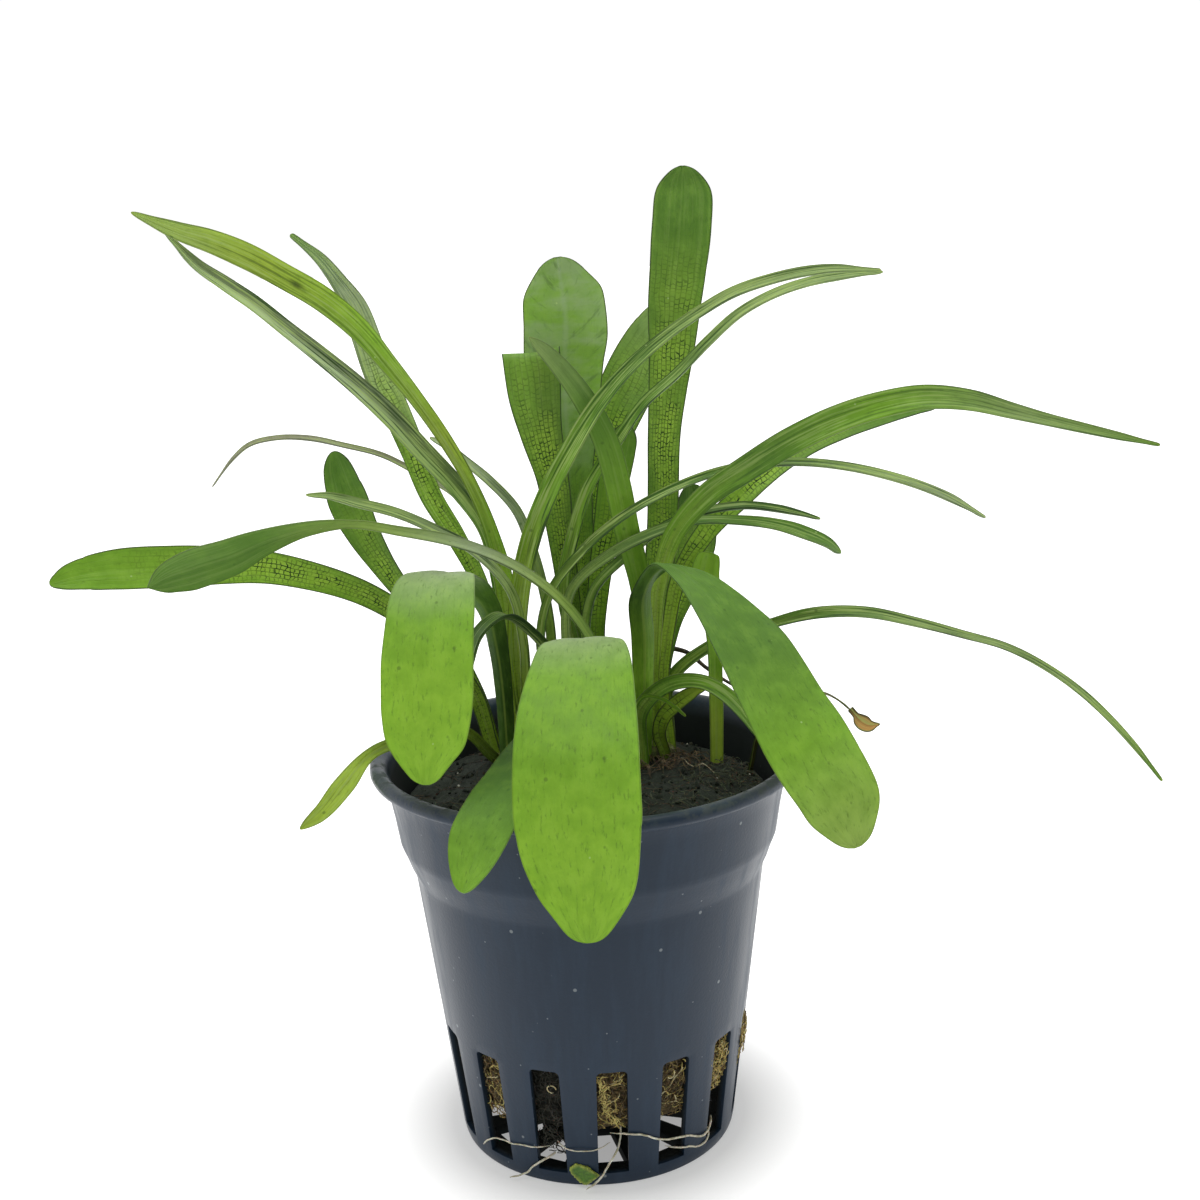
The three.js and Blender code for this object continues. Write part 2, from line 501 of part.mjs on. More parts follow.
function growingMedium() {
  const inside = (height) => wallRadius(height) - WALL - GAP
  const profile = [
    [0, FLOOR_THICKNESS + GAP],
    [PLUG_FOOT_RADIUS, FLOOR_THICKNESS + GAP],
    [PLUG_FOOT_RADIUS + 4, FLOOR_THICKNESS + GAP + 1.9],
    [inside(PLUG_EDGE_HEIGHT) - 0.4, PLUG_EDGE_HEIGHT],
    [inside(STEP_HEIGHT) - 0.1, STEP_HEIGHT],
    [COLLAR_FOOT.radius - WALL - GAP - 0.2, COLLAR_FOOT.height + 0.4],
    [COLLAR_FOOT.radius - WALL, SOIL_EDGE_HEIGHT],
    [SOIL_MIDDLE_RADIUS + 3, SOIL_EDGE_HEIGHT + 0.6],
    [SOIL_MIDDLE_RADIUS, SOIL_MIDDLE_HEIGHT],
    [0, SOIL_MIDDLE_HEIGHT],
  ]
  return named('growing_medium', closed(turned(profile, SOIL_SIDES)), COLOUR.soil, 0.95)
}

function crown(name, { at, radius }) {
  const profile = [[0, CROWN_FOOT], [radius, CROWN_FOOT], [radius * 0.8, CROWN_TOP - 0.3], [0, CROWN_TOP]]
  const geometry = closed(turned(profile, 10)).translate(at[0], at[1], 0)
  return named(name, geometry, COLOUR.crown, 0.7)
}

// The value at a share of the way along a list of evenly spaced values
function along(values, share) {
  const place = share * (values.length - 1)
  const before = Math.min(Math.floor(place), values.length - 1)
  const after = Math.min(before + 1, values.length - 1)
  return THREE.MathUtils.lerp(values[before], values[after], place - before)
}

// Six corners of a leaf's section: both margins and the midrib, each above and below, with the
// place that the section is drawn about halfway up its fold
function leafSection(width, thickness, fold) {
  const half = width / 2
  const rise = fold * half / 2
  const middle = Math.min(thickness, width * MOST_THICKNESS_FOR_WIDTH) / 2
  const margin = Math.min(MARGIN_THICKNESS / 2, middle * 0.7)
  return [
    [-half, rise + margin], [0, middle - rise], [half, rise + margin],
    [half, rise - margin], [0, -middle - rise], [-half, rise - margin],
  ]
}

function leafGeometry({ midrib, widths, face = TOWARDS_VIEWER, turn = [0], fold = 0.12 }) {
  const spine = new THREE.CatmullRomCurve3(midrib.map((place) => new THREE.Vector3(...place)))
  const breadth = new THREE.SplineCurve(widths.map((width, i) => new THREE.Vector2(i, width)))
  const stations = Math.max(FEWEST_STATIONS, Math.round(spine.getLength() / STATION_SPACING))
  const looks = new THREE.Vector3(...face)
  const positions = []
  const triangles = []
  const put = (point) => positions.push(point.x, point.y, point.z)
  for (let i = 0; i <= stations; i += 1) {
    const share = 1 - (1 - i / stations) ** TIP_CROWDING
    const t = spine.getUtoTmapping(share)
    const centre = spine.getPoint(t)
    const ahead = spine.getTangent(t)
    looks.addScaledVector(ahead, -looks.dot(ahead)).normalize()
    const up = looks.clone().applyAxisAngle(ahead, THREE.MathUtils.degToRad(along(turn, share)))
    const across = new THREE.Vector3().crossVectors(ahead, up)
    const width = Math.max(breadth.getPoint(t).y, 0.3)
    const thickness = THREE.MathUtils.lerp(BASE_THICKNESS, TIP_THICKNESS, share)
    if (i === 0) put(centre.clone().addScaledVector(ahead, -POINTED_END))
    for (const [sideways, outwards] of leafSection(width, thickness, fold)) {
      put(centre.clone().addScaledVector(across, sideways).addScaledVector(up, outwards))
    }
    if (i === stations) put(centre.clone().addScaledVector(ahead, POINTED_END))
  }
  const corners = 6
  const tip = 1 + corners * (stations + 1)
  for (let c = 0; c < corners; c += 1) {
    const next = (c + 1) % corners
    triangles.push(0, 1 + next, 1 + c)
    for (let i = 0; i < stations; i += 1) {
      const low = 1 + i * corners
      const high = low + corners
      triangles.push(low + c, low + next, high + c, low + next, high + next, high + c)
    }
    triangles.push(tip, tip - corners + c, tip - corners + next)
  }
  const geometry = new THREE.BufferGeometry()
  geometry.setAttribute('position', new THREE.Float32BufferAttribute(positions, 3))
  geometry.setIndex(triangles)
  return geometry
}

function rootGeometry(route) {
  const places = route.map(([degrees, height, beyond]) => {
    const distance = wallRadius(height) + ROOT_STAND_OFF + beyond
    return outward(degrees).multiplyScalar(distance).setZ(height)
  })
  const path = new THREE.CatmullRomCurve3(places)
  const section = new THREE.Shape()
  section.absarc(0, 0, ROOT_RADIUS, 0, Math.PI * 2, false)
  return new THREE.ExtrudeGeometry(section, {
    extrudePath: path,
    steps: Math.round(path.getLength() / 1.6),
    curveSegments: ROOT_SIDES / 2,
  })
}

function leafScrap() {
  const shape = new THREE.Shape(SCRAP_CORNERS.map(([x, z]) => new THREE.Vector2(x, z)))
  const plate = new THREE.ExtrudeGeometry(shape, { depth: SCRAP_THICKNESS, bevelEnabled: false })
  return named('leaf_scrap', closed(stoodAt(plate, SCRAP_DEG, wallRadius(3.2) + GAP)), COLOUR.blade)
}

const plant = new THREE.Group()
plant.add(pot(), growingMedium(), leafScrap())
for (const [name, crownSizes] of Object.entries(CROWNS)) plant.add(crown(name, crownSizes))
for (const [name, leaf] of Object.entries(LEAVES)) plant.add(named(name, leafGeometry(leaf), leaf.colour, 0.5))
for (const [name, route] of Object.entries(ROOTS)) {
  plant.add(named(name, closed(rootGeometry(route)), COLOUR.root, 0.7))
}

export default plant
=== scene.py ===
"""Finishes and fine shapes for the young sagittaria in its slotted pot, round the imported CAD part."""

import math
from collections import namedtuple
from functools import partial

import bmesh
import bpy
import numpy as np
from mathutils import Matrix, Vector, noise


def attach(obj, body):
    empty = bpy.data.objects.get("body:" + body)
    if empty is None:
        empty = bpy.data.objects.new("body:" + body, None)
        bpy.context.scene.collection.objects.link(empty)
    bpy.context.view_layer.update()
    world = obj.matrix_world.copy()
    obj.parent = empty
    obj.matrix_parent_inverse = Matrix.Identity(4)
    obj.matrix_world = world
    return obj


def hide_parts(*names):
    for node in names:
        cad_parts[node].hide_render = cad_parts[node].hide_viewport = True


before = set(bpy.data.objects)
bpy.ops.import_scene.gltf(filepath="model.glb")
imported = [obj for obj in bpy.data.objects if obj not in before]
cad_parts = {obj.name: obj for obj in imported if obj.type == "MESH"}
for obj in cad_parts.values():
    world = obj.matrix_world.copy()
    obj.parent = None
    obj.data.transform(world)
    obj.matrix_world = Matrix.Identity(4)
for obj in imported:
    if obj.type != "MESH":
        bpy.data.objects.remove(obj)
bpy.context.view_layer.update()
MM = 0.001

# The photograph's camera: place in mm, lens and sensor in mm, turns in degrees
CAMERA_PLACE = (0, -181.06, 108.3)
CAMERA_LENS = 47.03
CAMERA_SENSOR = 36
CAMERA_YAW = 0.742
CAMERA_PITCH = 12.972
CAMERA_ROLL = -1.979

# Pot, as in the CAD, in mm
WALL = 0.9
FLOOR_THICKNESS = 1.2
BASE_RADIUS = 17.1
STEP_RADIUS = 21.3
STEP_HEIGHT = 34.6
SLOT_COUNT = 15
FIRST_SLOT_DEG = 4.8
SLOT_WIDTH = 3.6
SLOT_BOTTOM = 1.7
SLOT_TOP = 15.6
SLOT_CORNER = 0.6
FLOOR_OPENING_COUNT = 12
FIRST_FLOOR_OPENING_DEG = 3
FLOOR_OPENING_RADII = (6.6, 14.2)
FLOOR_OPENING_WIDTHS = (1.9, 4.8)
POT_COLUMNS = 120
COLUMNS_A_SLOT = 4

# Heights up the pot and the radius of the middle of its wall at each, in mm
MID_WALL = ((0, 34.6, 37.3, 39.3, 46), (16.65, 20.85, 21.9, 22.55, 23.85))

# The inside of the wall is soiled from this height down, growing by 1 in this many mm, up to this share
SOILED_BELOW = 47.8
SOILED_FADE = 1.6
MOST_SOILED = 0.85

# Dust on the pot, coarse and fine: cells a mm, speck radius in cells, share of cells, strength and colour
DUST = ((0.42, 0.11, 0.2, 0.6, "#8d9497"), (0.9, 0.12, 0.09, 0.45, "#8a9296"))

# Growing medium and what grows from it, in mm
MEDIUM_GAP = 0.35
MEDIUM_GRAIN = 0.4
SOIL_RADIUS = 21.8
PLUG_TOP_FROM = 42.2
PLANT_MIDDLE = (0, 8, 46)
VEIN_GAP = 0.68
BAR_GAP = 0.55

# How many crumbs, hairs, roots and fibres there are, and between which heights the lump of dark peat hangs
# that stands in for the shade inside a slot, in mm
PEAT_CRUMBS = 620
SHADE_LUMP_CRUMBS = 260
SHADE_LUMP_HEIGHTS = (4.1, 8.6)
PEAT_HAIRS = 230
CROWN_ROOTS = 46
FIBRES_A_SLOT = 190
TRAILING_FIBRES = 80

# How far apart two touching crumbs of the lump may lie, as a share of their two sizes added
CRUMB_OVERLAP = 0.21

# Where moss grows: the middle of each patch and its spread, in mm, and how many hairs it has
MOSS_PATCHES = (
    ((17, -1), 3.6, 170), ((21, 3), 1.6, 40), ((12, -9), 3.0, 60), ((-14, -8), 2.5, 50),
    ((6, -17), 3.0, 50), ((-4, 19), 3.5, 60),
)

# Where the white grains lie, in mm
WHITE_GRAINS = (
    (-16.1, 5.4), (-11.7, 14.3), (-15.6, -0.2), (13.4, 15.7), (20.1, 2.6), (15.8, -1.0), (6, 16), (-4, -18),
)

# How far a leaf's foot reaches past the end of its CAD solid, so that it meets what carries it, in mm
LEAF_SINK = 2.8

# A leaf's fold begins this many mm before its highest place. Its middle is FOLD_MIDDLE mm on, it fades over
# FOLD_SPREAD mm, and it draws the blade in by this share for each mm that the margins drop there
FOLD_SEEN = 4
FOLD_MIDDLE = 1
FOLD_SPREAD = 4
FOLD_NARROWS = 0.2

# The power of a leaf's width that runs smoothly to nothing at its tip
TIP_BLUNTNESS = 2.3

# A blunt tip is fuller by this share. The rest is in greatest half widths from the tip's end: where it is
# fullest, over what stretch that fades, where hollows begin to be filled, and where corners stay as drawn
TIP_FULLER = 0.08
TIP_FULLEST = 0.7
TIP_SPREAD = 0.4
TIP_LENGTH = 1.8
TIP_EASED = 0.35

# How far the torn scrap is pressed back to the wall from its CAD solid's place, in mm, and how many steps
# its ragged edge has
SCRAP_PRESSED = 0.48
SCRAP_EDGE_STEPS = 48

# Roots on the wall: degrees round it from the front, height, and mm from the wall's face to the root's
# middle. The CAD's pass the same points a little further out, but its front root starts one point later
ROOT_RADIUS = 0.24
ROOTS = {
    "root_right_long": [(55, 4, -1.1), (51, 3.7, -0.4), (46.5, 3.3, 0.1), (34, 4.6, 0.1), (24, 5.2, 0.1),
                        (15, 6.6, 0.1), (9.5, 7, 0.05), (6.5, 6.9, -0.5), (4, 6.7, -1.1)],
    "root_right_short": [(53, 2.7, -1.1), (50, 2.5, -0.4), (46.5, 2.1, 0.1), (43, 1.9, 0.1), (35.5, 2.9, 0.1),
                         (31, 3.1, -0.4), (28, 3.3, -1.1)],
    "root_front": [(9, 8, -2.5), (8, 5.4, -1.1), (5.5, 4.2, -0.1), (2.5, 3, 0.6), (-1, 1.6, 1.2),
                   (-6, 0.5, 1.4)],
    "root_bridge": [(-17.5, 5.4, -1.1), (-15, 5.3, -0.3), (-12.5, 5.2, 0.1), (-2, 5.2, 0.1), (1, 5.3, -0.3),
                    (4, 5.3, -1.1)],
    "root_left": [(-54, 1.8, 0.1), (-50, 3.2, 0.1), (-44, 4.1, 0.1), (-35, 4.4, 0.1), (-26, 4.8, 0.1),
                  (-22.5, 4.7, -0.4), (-20.5, 4.5, -1.1)],
    "root_left_low": [(-19, 3.6, -1.1), (-22, 3.2, -0.3), (-26, 2.3, 0.2), (-30, 1, 0.4), (-35, 0.5, 1.8)],
}

# How thick the fine copies of the roots are, and of the two thinnest, as a share of the CAD's
USUAL_ROOT = 0.55
THIN_ROOTS = {"root_bridge": 0.32, "root_left": 0.42}

# Colours, sRGB
POT_BLUE = "#1a2a3b"
FLOOR_WHITE = "#c4c4c3"

# The table glows, weakly round the pot's foot as a painted shadow, fully further out, and less towards the
# dim room as painted shade, in mm
GLOW_AT_FOOT = 0.34
GLOW_FAR = 1.02
GLOW_RISES = (18.5, 33)
GLOW_IN_FRONT = 0.35
FRONT_BEGINS = (-130, -20)

# Light: the tent's walls behind and beside the plant, its roof, and the dimmer room in front of it
WHITE_TENT = 1.03
DIM_FRONT = 0.46
DIM_ROOF = 0.5
TOP_WATTS = 1.3

# Greens and browns of the leaves, from the youngest blade to the dead tip
GREENS = {
    "fresh": "#8cba33",
    "blade": "#79a72b",
    "yellow": "#a2bb3e",
    "pale": "#92ae52",
    # "lit" is a painted glow: the light that shines through a leaf from behind
    "lit": "#c0dc55",
    # "grey" and "silver" are partly a leaf's own grey-green and partly a painted sheen, at a hanging leaf's
    # fold
    "grey": "#869f5e",
    "silver": "#9aab82",
    "mid": "#5c852c",
    "deep": "#426420",
    "dark": "#2d481c",
    "olive": "#6b7632",
    "dry": "#8a8a70",
    "straw": "#b5a57a",
    "rust": "#c49556",
    "brown": "#5b4a2a",
}

RNG = np.random.default_rng(7)


def linear(colour):
    """An sRGB hex colour as linear red, green, blue and 1."""
    parts = [int(colour[i:i + 2], 16) / 255 for i in (1, 3, 5)]
    return tuple(p / 12.92 if p <= 0.04045 else ((p + 0.055) / 1.055) ** 2.4 for p in parts) + (1,)


def add_node(tree, kind, inputs=None, output=0, **settings):
    """Adds a node with its settings and its inputs' values or links, and returns one of its outputs."""
    node = tree.nodes.new("ShaderNode" + kind)
    for key, value in settings.items():
        setattr(node, key, value)
    for key, value in (inputs or {}).items():
        if isinstance(value, bpy.types.NodeSocket):
            tree.links.new(value, node.inputs[key])
        else:
            node.inputs[key].default_value = value
    return node if output is None else node.outputs[output]


def new_material(name):
    """An empty material, and add_node for its tree."""
    material = bpy.data.materials.new(name)
    material.use_nodes = True
    material.node_tree.nodes.clear()
    return material, partial(add_node, material.node_tree)


def surface(node, inputs):
    """Closes a material with its Principled shader."""
    node("OutputMaterial", {"Surface": node("BsdfPrincipled", inputs)}, output=None)


def object_millimetres(node):
    """Object coordinates in mm."""
    place = node("TexCoord", output="Object")
    return node("VectorMath", {0: place, "Scale": 1000.0}, operation="SCALE")


def specks(node, vector, per_mm, radius, share):
    """1 inside small round specks: cells a mm, radius in cells, and the share of cells that have one."""
    distance = node("TexVoronoi", {"Vector": vector, "Scale": per_mm})
    lot = node("SeparateColor", {0: distance.node.outputs["Color"]})
    chosen = node("Math", {0: lot, 1: share}, operation="LESS_THAN")
    near = node("MapRange", {0: distance, 1: radius * 0.6, 2: radius, 3: 1.0, 4: 0.0})
    return node("Math", {0: near, 1: chosen}, operation="MULTIPLY")


# Materials


def moulded_polypropylene():
    """Injection-moulded polypropylene, dark slate blue.

    Its soft shine is broken by a dry film in long streaks, dust specks and the grime of the lip, so the
    wall reads as used plastic and not as paint.
    """
    material, node = new_material("moulded_polypropylene")
    place = object_millimetres(node)
    streaked = node("Mapping", {"Vector": place, "Scale": (1.0, 1.0, 0.12)})
    film = node("TexNoise", {"Vector": streaked, "Scale": 0.35, "Detail": 4.0, "Roughness": 0.6})
    film = node("MapRange", {0: film, 1: 0.42, 2: 0.72}, interpolation_type="SMOOTHSTEP")
    worn = node("MapRange", {0: film, 3: 0.0, 4: 0.55})
    colour = node("Mix", {0: worn, 6: linear(POT_BLUE), 7: linear("#27384a")}, 2, data_type="RGBA")
    for per_mm, radius, share, amount, shade in DUST:
        dust = specks(node, place, per_mm, radius, share)
        dust = node("Math", {0: dust, 1: amount}, operation="MULTIPLY")
        colour = node("Mix", {0: dust, 6: colour, 7: linear(shade)}, 2, data_type="RGBA")
    height = node("SeparateXYZ", {0: place}, "Z")
    lip = node("MapRange", {0: height, 1: 47.3, 2: 48.3}, interpolation_type="SMOOTHSTEP")
    patches = node("TexNoise", {"Vector": place, "Scale": 0.45, "Detail": 5.0, "Roughness": 0.7})
    patches = node("MapRange", {0: patches, 1: 0.44, 2: 0.6}, interpolation_type="SMOOTHSTEP")
    grime = node("Math", {0: lip, 1: patches}, operation="MULTIPLY")
    part = node("Math", {0: grime, 1: 0.35}, operation="MULTIPLY")
    colour = node("Mix", {0: part, 6: colour, 7: linear("#595d4c")}, 2, data_type="RGBA")
    # The lip grows paler towards its top edge
    paler_lip_top = node("MapRange", {0: height, 1: 47.9, 2: 48.45, 3: 0.0, 4: 0.14})
    colour = node("Mix", {0: paler_lip_top, 6: colour, 7: linear("#7d8480")}, 2, data_type="RGBA")
    soiled = node("Attribute", output="Fac", attribute_name="tint")
    colour = node("Mix", {0: soiled, 6: colour, 7: linear("#14170f")}, 2, data_type="RGBA")
    rough = node("MapRange", {0: film, 3: 0.3, 4: 0.46})
    rougher = node("Math", {0: grime, 1: 0.75, 2: soiled}, operation="MULTIPLY_ADD")
    rough = node("Math", {0: rough, 1: rougher}, operation="MAXIMUM")
    grain = node("TexNoise", {"Vector": place, "Scale": 3.0, "Detail": 3.0})
    normal = node("Bump", {"Height": grain, "Distance": 0.02 * MM})
    surface(node, {"Base Color": colour, "Roughness": rough, "Normal": normal, "IOR": 1.33})
    return material


def leaf_tissue(name, net=0.0, net_end=0.8, stripes=0.0, per_mm=1.9, feather=0.0, dashes=0.0, mottle=0.5,
                speckled=0.5, margin_shade=0.9, shine=0.5, see_through=0.22, keel_light=0.6):
    """Living leaf tissue, which carries its piece's tint and adds blotches, veins, specks and a dark margin.

    Veins run lengthwise and bars cross them; the cells between them are painted brighter, as a glow of light
    from behind. Stripes are the ribs of a strap leaf, feather the oblique veins of a broad one and a painted
    grey sheen on its upper half, and dashes the short dark marks on a hanging one.
    """
    material, node = new_material(name)
    tint = node("Attribute", attribute_name="tint")
    place = node("UVMap", uv_map="blade_mm")
    along = node("SeparateXYZ", {0: place})
    across = along.node.outputs["Y"]
    share = node("SeparateXYZ", {0: node("UVMap", uv_map="blade_share")})
    to_margin = node("SeparateXYZ", {0: node("UVMap", uv_map="blade_edge")})
    wander = node("TexNoise", {"Vector": place, "Scale": 0.22, "Detail": 1.0})
    wander = node("MapRange", {0: wander, 3: -0.5, 4: 0.5})
    bent = node("Math", {0: across, 1: wander}, operation="ADD")
    blotches = node("TexNoise", {"Vector": place, "Scale": 0.45, "Detail": 4.0, "Roughness": 0.6})
    darker = node("MapRange", {0: blotches, 1: 0.3, 2: 0.6, 3: mottle * 0.6, 4: 0.0})
    colour = node("Mix", {0: darker, 6: tint, 7: linear("#a9bd7a")}, 2, data_type="RGBA",
                  blend_type="MULTIPLY")
    lighter = node("MapRange", {0: blotches, 1: 0.5, 2: 0.75, 3: 0.0, 4: mottle * 0.22})
    colour = node("Mix", {0: lighter, 6: colour, 7: linear("#9cc04e")}, 2, data_type="RGBA")
    out = node("Math", {0: across}, operation="ABSOLUTE")
    long_grain = node("Mapping", {"Vector": place, "Scale": (0.025, 1.0, 1.0)})
    relief = node("TexNoise", {"Vector": long_grain, "Scale": per_mm, "Detail": 3.0, "Roughness": 0.65})
    if dashes:
        short_grain = node("Mapping", {"Vector": place, "Scale": (0.35, 1.0, 1.0)})
        marks = node("TexNoise", {"Vector": short_grain, "Scale": 2.2, "Detail": 3.0, "Roughness": 0.7})
        marks = node("MapRange", {0: marks, 1: 0.56, 2: 0.7, 3: 0.0, 4: dashes})
        colour = node("Mix", {0: marks, 6: colour, 7: linear("#3f611c")}, 2, data_type="RGBA")
    if stripes:
        pale = node("MapRange", {0: relief, 1: 0.51, 2: 0.6, 3: 0.0, 4: stripes},
                    interpolation_type="SMOOTHSTEP")
        colour = node("Mix", {0: pale, 6: colour, 7: linear("#a4bc6c")}, 2, data_type="RGBA")
        dark = node("MapRange", {0: relief, 1: 0.38, 2: 0.48, 3: stripes, 4: 0.0},
                    interpolation_type="SMOOTHSTEP")
        colour = node("Mix", {0: dark, 6: colour, 7: linear("#2f4d1c")}, 2, data_type="RGBA")
    if net:
        column = node("Math", {0: bent, 1: 1 / VEIN_GAP}, operation="MULTIPLY")
        slide = node("TexNoise", {"Vector": place, "Scale": 0.8, "Detail": 2.0})
        bar = node("Math", {0: along, 1: 1 / BAR_GAP}, operation="MULTIPLY")
        bar = node("Math", {0: slide, 1: 2.4, 2: bar}, operation="MULTIPLY_ADD")
        ladder = node("CombineXYZ", {0: bar, 1: column})
        cells = node("TexBrick", {
            "Vector": ladder, "Scale": 1.0, "Brick Width": 1.0, "Row Height": 1.0, "Mortar Size": 0.15,
            "Mortar Smooth": 0.6, "Color1": (0.0, 0.0, 0.0, 1), "Color2": (1.0, 1.0, 1.0, 1), "Bias": 0.0,
        }, "Color", offset=0.2, offset_frequency=2)
        lines = cells.node.outputs["Fac"]
        ends = node("MapRange", {0: share, 1: net_end - 0.25, 2: net_end, 3: 1.0, 4: 0.0})
        inside = node("MapRange", {0: to_margin, 1: 0.2, 2: 1.4, 3: 0.35, 4: 1.0})
        patchy = node("TexNoise", {"Vector": place, "Scale": 0.14, "Detail": 2.0})
        patchy = node("MapRange", {0: patchy, 1: 0.36, 2: 0.54, 3: 0.45, 4: 1.0})
        amount = net
        for mask in (ends, inside, patchy):
            amount = node("Math", {0: mask, 1: amount}, operation="MULTIPLY")
        # The cells are painted brighter: a painted glow of light shining through the leaf from behind
        glow = node("Mix", {0: 0.7, 6: colour, 7: linear("#9cc43c")}, 2, data_type="RGBA")
        brighter = node("SeparateColor", {0: cells})
        brighter = node("Math", {0: brighter, 1: 0.6}, operation="MULTIPLY")
        glow = node("Mix", {0: brighter, 6: glow, 7: linear("#a9cc4a")}, 2, data_type="RGBA")
        colour = node("Mix", {0: amount, 6: colour, 7: glow}, 2, data_type="RGBA")
        uneven = node("MapRange", {0: slide, 1: 0.36, 2: 0.62, 3: 0.25, 4: 1.4})
        lines = node("Math", {0: lines, 1: uneven}, operation="MULTIPLY")
        lines = node("Math", {0: lines, 1: amount}, operation="MULTIPLY", use_clamp=True)
        colour = node("Mix", {0: lines, 6: colour, 7: linear("#203a0d")}, 2, data_type="RGBA")
        relief = node("Math", {0: lines, 1: -0.5, 2: relief}, operation="MULTIPLY_ADD")
    if feather:
        # Painted sheen: grey-green smudges over the upper half
        upper = node("MapRange", {0: share, 1: 0.5, 2: 0.7})
        banks = node("Mapping", {"Vector": place, "Scale": (1.0, 0.3, 1.0)})
        painted_sheen = node("TexNoise", {"Vector": banks, "Scale": 0.3, "Detail": 4.0, "Roughness": 0.6})
        painted_sheen = node("MapRange", {0: painted_sheen, 1: 0.4, 2: 0.62, 3: feather * 0.2, 4: feather})
        painted_sheen = node("Math", {0: painted_sheen, 1: upper}, operation="MULTIPLY")
        colour = node("Mix", {0: painted_sheen, 6: colour, 7: linear("#9db287")}, 2, data_type="RGBA")
        oblique = node("Math", {0: out, 1: -0.8, 2: along}, operation="MULTIPLY_ADD")
        oblique = node("CombineXYZ", {0: oblique, 1: across})
        veins = node("Mapping", {"Vector": oblique, "Scale": (1.0, 0.35, 1.0)})
        veins = node("TexNoise", {"Vector": veins, "Scale": 0.9, "Detail": 3.0, "Roughness": 0.65})
        veins = node("MapRange", {0: veins, 1: 0.56, 2: 0.68, 3: 0.0, 4: feather * 0.7})
        colour = node("Mix", {0: veins, 6: colour, 7: linear("#3a5a28")}, 2, data_type="RGBA")
        midrib = node("MapRange", {0: out, 1: 0.1, 2: 0.5, 3: feather * 0.35, 4: 0.0})
        midrib = node("Math", {0: midrib, 1: upper}, operation="MULTIPLY")
        colour = node("Mix", {0: midrib, 6: colour, 7: linear("#a3b596")}, 2, data_type="RGBA")
    keel = node("MapRange", {0: out, 1: 0.15, 2: 0.55, 3: keel_light, 4: 0.0},
                interpolation_type="SMOOTHSTEP")
    low = node("MapRange", {0: share, 1: 0.1, 2: 0.5, 3: 1.0, 4: 0.0})
    keel = node("Math", {0: keel, 1: low}, operation="MULTIPLY")
    colour = node("Mix", {0: keel, 6: colour, 7: linear("#9db552")}, 2, data_type="RGBA")
    margin = node("MapRange", {0: to_margin, 1: 0.04, 2: 0.2, 3: margin_shade, 4: 0.0})
    colour = node("Mix", {0: margin, 6: colour, 7: linear("#26331f")}, 2, data_type="RGBA")
    spots = specks(node, place, 0.55, 0.15, 0.2 * speckled)
    spots = node("Math", {0: spots, 1: 0.5}, operation="MULTIPLY")
    colour = node("Mix", {0: spots, 6: colour, 7: linear("#3c5a1c")}, 2, data_type="RGBA")
    grit = specks(node, place, 0.8, 0.12, 0.06 * speckled)
    grit = node("Math", {0: grit, 1: 0.5}, operation="MULTIPLY")
    colour = node("Mix", {0: grit, 6: colour, 7: linear("#b7cf86")}, 2, data_type="RGBA")
    rough = node("MapRange", {0: blotches, 1: 0.3, 2: 0.7, 3: shine - 0.06, 4: shine + 0.1})
    rough = node("Math", {0: rough, 1: margin}, operation="MAXIMUM")
    dull_foot = node("Math", {0: low, 1: 0.9}, operation="MULTIPLY")
    rough = node("Math", {0: rough, 1: dull_foot}, operation="MAXIMUM")
    height = node("Math", {0: blotches, 1: 0.8, 2: relief}, operation="MULTIPLY_ADD")
    normal = node("Bump", {"Height": height, "Distance": 0.07 * MM})
    surface(node, {
        "Base Color": colour, "Roughness": rough, "Normal": normal, "IOR": 1.42,
        "Subsurface Weight": see_through, "Subsurface Scale": 0.6 * MM, "Subsurface Radius": (0.9, 1.0, 0.25),
        "Specular IOR Level": 0.3, "Sheen Weight": 0.04, "Sheen Roughness": 0.5,
    })
    return material


def wet_peat():
    """Wet peat: nearly black crumbs with brown ones between and a film of green algae, dull but damp."""
    material, node = new_material("wet_peat")
    place = object_millimetres(node)
    crumbs = node("TexNoise", {"Vector": place, "Scale": 1.5, "Detail": 6.0, "Roughness": 0.75})
    tint = node("Attribute", attribute_name="tint")
    shade = node("MapRange", {0: crumbs, 1: 0.35, 2: 0.65, 3: 0.35, 4: 1.5})
    colour = node("VectorMath", {0: tint, "Scale": shade}, operation="SCALE")
    algae = node("TexNoise", {"Vector": place, "Scale": 0.22, "Detail": 3.0})
    algae = node("MapRange", {0: algae, 1: 0.5, 2: 0.7, 3: 0.0, 4: 0.3})
    colour = node("Mix", {0: algae, 6: colour, 7: linear("#2c3320")}, 2, data_type="RGBA")
    rough = node("MapRange", {0: crumbs, 3: 0.5, 4: 0.95})
    normal = node("Bump", {"Height": crumbs, "Distance": 0.35 * MM})
    surface(node, {"Base Color": colour, "Roughness": rough, "Normal": normal, "IOR": 1.35})
    return material


def plant_fibre(name, dark, light, rough=0.65, see_through=0.1):
    """A fine plant strand: its shade changes from strand to strand and along each, with a dull surface."""
    material, node = new_material(name)
    place = object_millimetres(node)
    shade = node("TexNoise", {"Vector": place, "Scale": 1.3, "Detail": 3.0, "Roughness": 0.6})
    shade = node("MapRange", {0: shade, 1: 0.32, 2: 0.68}, interpolation_type="SMOOTHSTEP")
    colour = node("Mix", {0: shade, 6: linear(dark), 7: linear(light)}, 2, data_type="RGBA")
    grain = node("TexNoise", {"Vector": place, "Scale": 6.0, "Detail": 2.0})
    normal = node("Bump", {"Height": grain, "Distance": 0.03 * MM})
    rougher = node("MapRange", {0: shade, 3: rough - 0.1, 4: rough + 0.15})
    surface(node, {
        "Base Color": colour, "Roughness": rougher, "Normal": normal, "IOR": 1.4,
        "Subsurface Weight": see_through, "Subsurface Scale": 0.3 * MM,
    })
    return material


